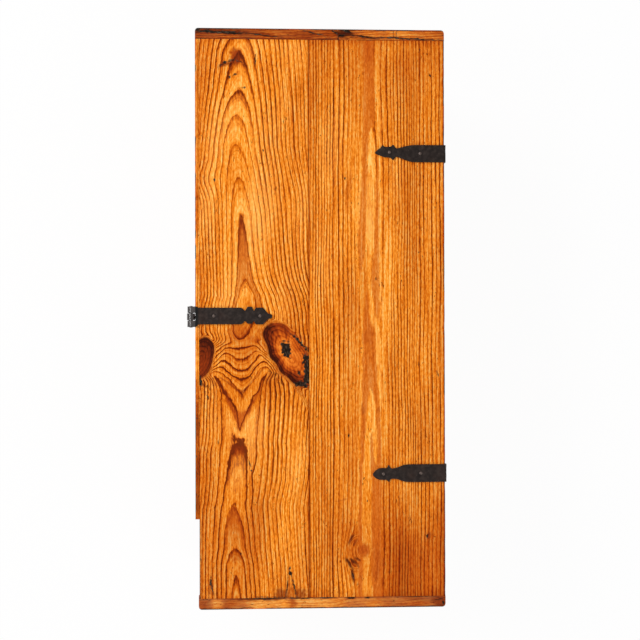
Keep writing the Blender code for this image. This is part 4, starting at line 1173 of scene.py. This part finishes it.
def cleat(name, side, front, look):
    """End strip: a rounded profile carried along Y, drawn in at both ends by the outer corner's arc.

    Its rings are slanting layers. The stations lie at 1.25 s - 0.25 s^3, closer together at the ends.
    """
    seed, contrast, finish, spots, stains, shade = look
    inner = side * LID_END
    outer = side * CLEAT_OUTER
    low = LID_UNDER - CLEAT_DROP
    corners = [(inner, low), (inner, LID_TOP), (outer, LID_TOP), (outer, low)]
    profile = rounded_loop(corners, CLEAT_EDGE, CLEAT_CUTS)
    reach = (LID_BACK - front) / 2
    share = np.linspace(-1, 1, CLEAT_STATIONS)
    from_middle = reach * (1.25 * share - 0.25 * share**3)
    short = np.clip(CLEAT_CORNER - (reach - np.abs(from_middle)), 0, CLEAT_CORNER)
    pull = CLEAT_CORNER - np.sqrt(CLEAT_CORNER**2 - short**2)
    points = np.empty((len(share), len(profile), 3))
    points[..., 0] = inner + (profile[:, 0] - inner) * (1 - pull[:, None] / CLEAT_WIDTH)
    points[..., 1] = (LID_BACK + front) / 2 + from_middle[:, None]
    points[..., 2] = profile[:, 1]
    u, v, deep = lid_pixels(points)
    across = v + 0.03 * (u - CLEAT_MIDDLE_U)
    across = across + 1.6 * ripple(seed, u, v, 110, 40) + 0.3 * ripple(seed + 1, u, deep, 25, 12)
    ring = (across + 0.55 * deep) / CLEAT_SPACING
    black = spotted(u, v + 0.5 * deep, spots, seed + 2)
    rough_u = u + 2 * ripple(seed + 2, u, v, 14, 6)
    rough_v = v + 0.7 * ripple(seed + 3, u, v, 12, 6) + 0.3 * deep
    none = np.zeros_like(u)
    knot, heart = stained(u, v, rough_u, rough_v, stains, none, none)
    outer_edge = np.abs(points[..., 0] - outer) / PIXEL
    inner_edge = np.abs(points[..., 0] - inner) / PIXEL
    seam = smooth(1.5, 0.3, inner_edge) * smooth(-0.5, 0.7, ripple(seed + 7, u, v, 30, 60))
    # Along the outer arris a ragged dark line: dirt together with painted shade of the rounded edge
    arris = smooth(2, 0.9, outer_edge) * smooth(2.2, 1, deep)
    arris = arris * smooth(-1.2, 0.2, ripple(seed + 8, u, v, 60, 60))
    black = np.maximum(black, np.maximum(0.62 * seam, 0.6 * arris))
    tone = table(shade, u) + 0.22 * ripple(seed + 4, u, v, 50, 14) - 0.3 * smooth(2, 12, deep)
    # Darker rims: the dark joint at the inner edge, and painted shade on the outer arris
    joint_and_shaded_rims = np.maximum(smooth(1.8, 0.2, inner_edge), smooth(1.8, 0.2, outer_edge) * smooth(6, 2, deep))
    dents = smooth(0.2, 1.2, ripple(seed + 6, u, v, 24, 9)) * smooth(1, 0, deep)
    points[..., 2] -= CLEAT_DENT * dents
    marks = np.stack([knot, heart, black, np.full_like(u, contrast)], axis=-1)
    mesh = tube(name, points, ring=ring, tone=tone - 0.9 * joint_and_shaded_rims, marks=marks)
    place(name, mesh, "lid", "lid_pine", finish)


def lip():
    """Front strip: a thin rounded profile carried along X, cut off square and ragged at its right end."""
    low = LID_UNDER - LIP_DROP
    corners = [(LIP_FRONT, low), (LIP_FRONT, LID_TOP), (LID_FRONT, LID_TOP), (LID_FRONT, low)]
    profile = rounded_loop(corners, LIP_EDGE, LIP_CUTS)
    points = carried(profile, np.linspace(-LID_END, LIP_END, LIP_STATIONS))
    u, v, deep = lid_pixels(points)
    across = u + 0.8 * deep + 0.5 * ripple(61, v, deep, 120, 20) + 0.12 * ripple(62, v, deep, 30, 6)
    ring = across / LIP_SPACING
    rough_v = v + 2 * ripple(63, u, v, 4, 9)
    outer_edge = np.abs(points[..., 1] - LIP_FRONT) / PIXEL
    inner_edge = np.abs(points[..., 1] - LID_FRONT) / PIXEL
    dashes = smooth(-0.9, 0.9, ripple(64, u + deep, v, 3, 16)) * smooth(1.3, 0.5, outer_edge)
    specks = smooth(*LIP_SPECKS, v) * smooth(0.9, 1.5, ripple(65, u + deep, v, 3, 7))
    black = np.maximum(np.maximum(0.7 * dashes, 0.75 * specks), 0.7 * smooth(*LIP_RAGGED, rough_v))
    tone = table(LIP_TONE, rough_v) + 0.3 * ripple(66, v, deep, 40, 8) - 0.3 * smooth(4, 14, deep)
    arris = smooth(0.9, 0.2, inner_edge) * smooth(1.2, 0.2, deep)
    tone = tone + 0.35 * arris * between(LIP_BRIGHT, v)
    dents = smooth(0.3, 1.3, ripple(67, u, v, 30, 14)) * smooth(1.6, 0, deep)
    points[..., 2] -= LIP_DENT * dents
    none = np.zeros_like(u)
    marks = np.stack([none, none, black, 1 + 0.3 * smooth(*LIP_COARSE, v)], axis=-1)
    mesh = tube("lid_front_lip", points, ring=ring, tone=tone, marks=marks)
    place("lid_front_lip", mesh, "lid", "lid_pine", LID_PINE)


# Ironwork

# Millimetres in a metre
MILLIMETRES = 1000
# Strap outlines in millimetres: distance from the lid's edge, then the reach to either side
LEFT_STRAP = [
    (0, -13.6, 13.6), (46, -13.6, 13.6), (52, -13.3, 13.2), (57, -12.5, 12), (62.8, -11.2, 10.1),
    (70, -9.3, 7.2), (75.5, -8, 5.2), (78, -9.6, 6.4), (81, -14.1, 10.8), (83, -12.9, 9),
    (85.5, -10.7, 6.9), (90, -10.5, 6.2), (95, -10.4, 5.9), (97, -11.6, 5.4), (98, -13.7, 5),
    (99.4, -11.4, 4.4), (101.5, -8.8, 3.6), (105, -6.2, 2.4), (108, -3.6, 1.1), (110, -1.5, -0.1),
]
RIGHT_STRAP = [
    (0, -14, 14), (56, -14, 14), (61, -13.7, 13.7), (66, -12.9, 12.9), (71, -11, 11), (76, -9, 9.3),
    (84.5, -7.3, 8.4), (87, -8.8, 9.8), (89.4, -14.2, 14.2), (91, -10.6, 12), (93, -8.2, 10.2),
    (99, -8.6, 10.3), (105, -7.8, 9.8), (109, -5.4, 8.2), (112.3, -2.4, 5.6), (114.4, 0.4, 2.8),
]
HASP_STRAP = [
    (-2, -13, 13), (71, -13, 13), (74, -11.6, 11.8), (77, -7.8, 7.8), (79, -9.8, 8.8),
    (81.4, -14.4, 12.2), (88.8, -14.4, 12.2), (90.2, -8.8, 8.8), (91.2, -7.7, 7.7), (92.4, -9, 9),
    (94, -13, 13.1), (106, -13.1, 13.1), (110, -8, 8.8), (114.8, -2.7, 4.2), (116.8, -3.3, 4.4),
    (118.8, -2.4, 3.4), (120, -0.9, 1.7),
]
# Distances in metres before the rolled part between which a painted shadow lies
PAINTED_SHADOW_SPAN = (-0.0015, 0.0005, 0.003, 0.0065)
# Nails: the head's profile in shares of its radius and its height, the shank's share of the head's
# radius, two sizes of head (radius, height), and each kind's axis, way out and size
NAIL_HEAD = [(0.25, 0), (0.55, 0.04), (0.8, 0.22), (0.95, 0.5), (1, 0.8), (0.97, 1)]
NAIL_SHANK = 0.55
SMALL_NAIL = (0.0026, 0.0013)
LARGE_NAIL = (0.0032, 0.0014)
OUTWARD = 0  # away from the trunk's middle
NAILS = {
    "hinge_strap_nail": (2, 1, SMALL_NAIL), "hasp_strap_nail": (2, 1, SMALL_NAIL),
    "hinge_leaf_nail": (1, 1, SMALL_NAIL), "cleat_nail": (0, OUTWARD, LARGE_NAIL),
    "lip_nail": (1, -1, LARGE_NAIL), "bottom_nail": (2, -1, LARGE_NAIL),
}


def bent_path(start, heading, parts):
    """Points, sideways directions and lengths along straights (length, 0) and arcs (radius, degrees).

    Returns rows of (along, y, z, left y, left z); an arc is cut every few degrees.
    """
    rows = []
    y, z = start
    angle = math.radians(heading)
    along = 0
    for size, turn in parts:
        if turn == 0:
            share = np.linspace(0, size, max(2, int(size / STRAIGHT_STEP)))
            now = np.full_like(share, angle)
            ys = y + share * math.cos(angle)
            zs = z + share * math.sin(angle)
            length = size
        else:
            sweep = math.radians(turn)
            length = size * abs(sweep)
            share = np.linspace(0, length, max(2, int(abs(turn) / ARC_STEP)))
            curve = math.copysign(1 / size, turn)
            now = angle + curve * share
            ys = y + (np.sin(now) - math.sin(angle)) / curve
            zs = z + (math.cos(angle) - np.cos(now)) / curve
            angle += sweep
        skip = 1 if rows else 0
        rows.append(np.stack([along + share, ys, zs, -np.sin(now), np.cos(now)], axis=1)[skip:])
        y, z = ys[-1], zs[-1]
        along += length
    return np.concatenate(rows)


def forged_sheet(name, rows, edges, step, cut_out, offset, thickness, seed, soft_width):
    """Strap iron: a grid across the width and along a bent path, given thickness and soft edges.

    edges holds the four lines along it that the grid hangs on: both edges and the knuckle cuts.
    Beyond step it is rolled and worn bright, and the thirds of its width in cut_out are missing.
    Hammer marks of about 0.1 mm dimple the face, and a painted shadow darkens it just before the roll.
    """
    rolled = rows[:, 0] > step - NUDGE
    kept = np.ones((len(rows), 3), bool)
    kept[np.ix_(rolled, cut_out)] = False
    share = np.linspace(0, 3, SHEET_COLUMNS)
    cell = np.minimum(share.astype(int), 2)
    x = edges[:, cell] + (edges[:, cell + 1] - edges[:, cell]) * (share - cell)
    along = rows[:, :1] + np.zeros_like(x)
    hammer = ripple(seed, x * MILLIMETRES, along * MILLIMETRES, 14, 17)
    hammer = -HAMMER_MARK * np.maximum(1 + hammer, 0)
    y = rows[:, 1:2] + hammer * rows[:, 3:4]
    z = rows[:, 2:3] + hammer * rows[:, 4:5]
    index = np.arange(x.size).reshape(x.shape)
    quads = np.stack([index[:-1, :-1], index[:-1, 1:], index[1:, 1:], index[1:, :-1]], axis=-1)
    third = np.minimum(np.floor((share[:-1] + share[1:]) / 2).astype(int), 2)
    stays = kept[:-1][:, third]
    used, faces = np.unique(quads[stays], return_inverse=True)
    mesh = bpy.data.meshes.new(name)
    points = np.stack([x, y, z], axis=-1).reshape(-1, 3)
    mesh.from_pydata(points[used].tolist(), [], faces.reshape(-1, 4).tolist())
    mesh.shade_smooth()
    # Painted shadow on the flat just before the roll, where the raised barrel or knuckle would shade it
    behind = rows[np.argmax(rolled), 0] - along
    marked(mesh, "painted_shadow", between(PAINTED_SHADOW_SPAN, behind).ravel()[used])
    piece = place(name, mesh, "lid", "strap_iron", STRAP_IRON, BARREL_IRON)
    bright = rolled[np.nonzero(stays)[0]]
    mesh.polygons.foreach_set("material_index", bright.astype(np.int32))
    wall = piece.modifiers.new("thickness", "SOLIDIFY")
    wall.thickness = thickness
    wall.offset = offset
    softened(piece, soft_width, SHEET_ANGLE)


def strap_edges(outline, reach, middle):
    """Both edges at each distance from the lid's edge, and two lines a third of the way in."""
    places, low, high = np.array(outline).T / MILLIMETRES
    left = np.interp(reach, places, low)
    right = np.interp(reach, places, high)
    third = (right - left) / 3
    return middle + np.stack([left, left + third, right - third, right], axis=1)


def hinge_strap(name, middle, outline, seed):
    """Strap on the lid from its tip back, over the edge, down, and rolled into the middle knuckle."""
    length = outline[-1][0] / MILLIMETRES
    top = length - STRAP_BEND + FIT_GAP
    cut = HINGE_OUTER + FIT_GAP
    leg = STRAP_FACE - STRAP_BEND - HINGE_Z - cut
    parts = [(top, 0), (STRAP_BEND, -90), (leg, 0), (cut, 0), (HINGE_INNER, -ROLL_TURN)]
    rows = bent_path((LID_BACK - length, STRAP_FACE), 0, parts)
    along = rows[:, 0]
    edges = strap_edges(outline, np.maximum(length - along, 0), middle)
    knuckle = STRAP_WIDTH / 6 - FIT_GAP / 2
    step = top + STRAP_BEND * math.pi / 2 + leg
    turn = smooth(step - STRAP_NECK, step - NECK_END, along)[:, None]
    edges[:, 1:3] = mixed(edges[:, 1:3], middle + np.array([-knuckle, knuckle]), turn)
    forged_sheet(name, rows, edges, step, [0, 2], 1, STRAP_THICKNESS, seed, STRAP_EDGE)


def hasp_strap(name, seed):
    """Strap on the lid from its spear tip forward, rolled into the barrel's two outer knuckles."""
    tip = LIP_FRONT + HASP_STRAP[-1][0] / MILLIMETRES
    outer = HASP_INNER + HASP_THICKNESS
    cut = HASP_INNER + HASP_LEAF_THICKNESS + FIT_GAP
    neck = tip - HASP_Y - cut
    parts = [(neck, 0), (cut, 0), (outer, ROLL_TURN)]
    rows = bent_path((tip, STRAP_FACE + HASP_THICKNESS), 180, parts)
    along = rows[:, 0]
    edges = strap_edges(HASP_STRAP, tip - LIP_FRONT - along, HASP_X)
    inner = BARREL_LENGTH / 6 + 2 * FIT_GAP
    barrel = HASP_X + BARREL_SHIFT + np.array([-BARREL_LENGTH / 2, -inner, inner, BARREL_LENGTH / 2])
    turn = smooth(neck - HASP_NECK, neck - NECK_END, along)[:, None]
    edges = mixed(edges, barrel, turn)[:, ::-1]
    forged_sheet(name, rows, edges, neck, [1], -1, HASP_THICKNESS, seed, HASP_EDGE)


def nail(node, body, axis, way, size):
    """A driven nail: uneven circles of the profile's radii carried along its shank, the head a dome."""
    head, dome = size
    low, high = (np.array(corner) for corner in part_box(node))
    way = way or math.copysign(1, low[axis])
    tip, outer = (low[axis], high[axis]) if way > 0 else (high[axis], low[axis])
    length = abs(outer - tip)
    radii, steps = np.array(NAIL_HEAD).T
    radii = head * np.append(radii, [NAIL_SHANK, 0.9 * NAIL_SHANK, 0.4 * NAIL_SHANK])
    steps = np.append(dome * steps, [dome, 0.6 * length, length])
    angle = np.linspace(0, 2 * np.pi, NAIL_SIDES, endpoint=False)
    seed = sum(map(ord, node))
    uneven = 1 + 0.06 * np.sin(2 * angle + seed) + 0.04 * np.sin(3 * angle + 1.7 * seed)
    first, second = (k for k in range(3) if k != axis)
    middle = (low + high) / 2
    points = np.empty((len(radii), len(angle), 3))
    points[..., axis] = (outer - way * steps)[:, None]
    points[..., first] = middle[first] + radii[:, None] * uneven * np.cos(angle)
    points[..., second] = middle[second] + radii[:, None] * uneven * np.sin(angle)
    place(node, tube(node, points), body, "nail_iron", NAIL_IRON)


# Box boards, hinge leaves, pins, hasp leaf and staple: the solids' own shapes with eased edges

# Turns that lay a board's grain along X and its face into X and Z
ALONG = (0, 0, 0)
CROSSWISE = (0, 0, math.pi / 2)
FLAT = (math.pi / 2, 0, 0)
# For each board: its turn, the log's heart (into the board, across its face), ring spacing, taper, tone,
# and its knots (along, across, radius)
BOX_BOARDS = {
    "front_lower_board": (ALONG, (-0.140, 0.112), 0.0062, 0.030, 0.1,
        [(-0.262, 0.150, 0.013), (0.318, 0.076, 0.009)]),
    "front_upper_board": (ALONG, (-0.151, 0.318), 0.0055, -0.034, 0.18, [(0.205, 0.292, 0.011)]),
    "back_lower_board": (ALONG, (0.146, 0.131), 0.0058, -0.028, 0.05,
        [(0.122, 0.091, 0.014), (-0.331, 0.163, 0.008)]),
    "back_upper_board": (ALONG, (0.137, 0.296), 0.0064, 0.036, 0.12, [(-0.118, 0.318, 0.010)]),
    "left_end_lower_board": (CROSSWISE, (-0.392, 0.108), 0.0060, 0.060, 0.08, [(0.071, 0.140, 0.011)]),
    "left_end_upper_board": (CROSSWISE, (-0.401, 0.312), 0.0056, -0.070, 0.15, []),
    "right_end_lower_board": (CROSSWISE, (0.398, 0.128), 0.0057, -0.065, 0.1, []),
    "right_end_upper_board": (CROSSWISE, (0.390, 0.300), 0.0062, 0.058, 0.14, [(-0.066, 0.318, 0.010)]),
    "bottom_front_board": (FLAT, (-0.050, -0.082), 0.0060, 0.032, -0.1, [(0.150, -0.060, 0.012)]),
    "bottom_back_board": (FLAT, (-0.046, 0.098), 0.0066, -0.030, -0.05, [(-0.210, 0.120, 0.010)]),
}
# Finish and edge width
EASED_IRON = {
    "hasp_leaf": (BARREL_IRON, HASP_EDGE), "hasp_pin": (BARREL_IRON, STRAP_EDGE),
    "hasp_staple": (STRAP_IRON, STRAP_EDGE),
    "hinge_leaf_left": (STRAP_IRON, STRAP_EDGE), "hinge_leaf_right": (STRAP_IRON, STRAP_EDGE),
    "hinge_pin_left": (STRAP_IRON, STRAP_EDGE), "hinge_pin_right": (STRAP_IRON, STRAP_EDGE),
}


def eased(node, body, slot, finish, width):
    """A merged copy of a solid with its edges eased."""
    source = frame["nodes"][node]
    bm = bmesh.new()
    bm.from_mesh(source.data)
    bmesh.ops.transform(bm, matrix=source.matrix_world, verts=bm.verts)
    bmesh.ops.remove_doubles(bm, verts=bm.verts, dist=NUDGE)
    bmesh.ops.dissolve_limit(bm, angle_limit=math.radians(FLAT_ANGLE), verts=bm.verts, edges=bm.edges)
    mesh = bpy.data.meshes.new(node)
    bm.to_mesh(mesh)
    bm.free()
    shaded(mesh)
    softened(place(node, mesh, body, slot, finish), width, SOLID_ANGLE)


# Floor, light and camera

WHITE = (1, 1, 1, 1)
FLOOR_SIDE = 6
FLOOR_GREY = (0.9, 0.9, 0.9, 1)
FLOOR_ROUGHNESS = 0.9
FLOOR_GLOW = 0.95
SKY_STRENGTH = 0.45
# Name, place, power and size
LAMPS = [
    ("key_lamp", (-1.6, -1.8, 2.6), 50, 1.4),
    ("fill_lamp", (1.8, 1.6, 2.4), 26, 1.8),
    ("front_lamp", (0, -1.5, 2.7), 16, 0.45),
]
LAMP_AIM = (0, 0, 0.3)
# Place in metres, turns in degrees, focal length and picture side in pixels
CAMERA_SPOT = (0.0305, -0.1801, 3.0029)
CAMERA_TURNS = [(89.874, "Z"), (-3.914, "Y"), (0.614, "X")]
FOCAL_PIXELS = 1661.4
PHOTO_SIDE = 640
SENSOR = 36


def white_floor():
    """A white floor that keeps a soft shadow."""
    side, low = FLOOR_SIDE, -FIT_GAP
    corners = [(-side, -side, low), (side, -side, low), (side, side, low), (-side, side, low)]
    mesh = bpy.data.meshes.new("floor")
    mesh.from_pydata(corners, [], [(0, 1, 2, 3)])
    made, tree, shader = material("floor_white")
    mesh.materials.append(made)
    feed(shader.inputs["Base Color"], FLOOR_GREY)
    feed(shader.inputs["Roughness"], FLOOR_ROUGHNESS)
    path = put(tree, "LightPath")
    seen = path["Is Camera Ray"].most(path["Is Glossy Ray"]).most(path["Is Transmission Ray"])
    glow = put(tree, "Emission", {"Color": WHITE, "Strength": 1})[0]
    mix = put(tree, "MixShader", {0: seen * FLOOR_GLOW, 1: Outputs(shader)[0], 2: glow})[0]
    feed(tree.nodes["Material Output"].inputs["Surface"], mix)
    floor = bpy.data.objects.new("floor", mesh)
    bpy.context.scene.collection.objects.link(floor)


def light():
    """An even sky, white where the camera sees it, and broad lamps, the strongest from the left."""
    world = bpy.data.worlds.new("studio")
    bpy.context.scene.world = world
    world.use_nodes = True
    tree = world.node_tree
    sky = tree.nodes["Background"]
    feed(sky.inputs["Color"], WHITE)
    feed(sky.inputs["Strength"], SKY_STRENGTH)
    white = put(tree, "Background", {"Color": WHITE, "Strength": 1})[0]
    seen = put(tree, "LightPath")["Is Camera Ray"]
    mix = put(tree, "MixShader", {0: seen, 1: Outputs(sky)[0], 2: white})[0]
    feed(tree.nodes["World Output"].inputs["Surface"], mix)
    for name, spot, power, size in LAMPS:
        lamp = bpy.data.lights.new(name, "AREA")
        lamp.energy = power
        lamp.size = size
        item = bpy.data.objects.new(name, lamp)
        away = Vector(spot) - Vector(LAMP_AIM)
        item.matrix_world = Matrix.Translation(spot) @ away.to_track_quat("Z", "Y").to_matrix().to_4x4()
        bpy.context.scene.collection.objects.link(item)


def camera():
    """Looks almost straight down, the trunk's left end at the top of the picture."""
    data = bpy.data.cameras.new("camera")
    data.sensor_width = SENSOR
    data.lens = FOCAL_PIXELS * SENSOR / PHOTO_SIDE
    item = bpy.data.objects.new("camera", data)
    item.matrix_world = Matrix.Translation(CAMERA_SPOT)
    for degrees, axis in CAMERA_TURNS:
        item.matrix_world = item.matrix_world @ Matrix.Rotation(math.radians(degrees), 4, axis)
    bpy.context.scene.collection.objects.link(item)
    bpy.context.scene.camera = item


lid_boards()
cleat("lid_cleat_left", -1, LIP_FRONT, LEFT_CLEAT)
cleat("lid_cleat_right", 1, RIGHT_CLEAT_FRONT, RIGHT_CLEAT)
lip()
hinge_strap("hinge_strap_left", LEFT_HINGE_X, LEFT_STRAP, 81)
hinge_strap("hinge_strap_right", RIGHT_HINGE_X, RIGHT_STRAP, 82)
hasp_strap("hasp_strap", 83)
bodies = {node: body for body, nodes in frame["record"]["behaviour"]["bodies"].items() for node in nodes}
for node, body in sorted(bodies.items()):
    kind = node.rsplit("_", 1)[0]
    if kind in NAILS:
        nail(node, body, *NAILS[kind])
    elif node in EASED_IRON:
        eased(node, body, "strap_iron", *EASED_IRON[node])
    elif node in BOX_BOARDS:
        eased(node, body, "box_pine", board_pine(node, *BOX_BOARDS[node]), BOARD_EDGE)

white_floor()
light()
camera()
bpy.context.scene.view_settings.view_transform = "Standard"
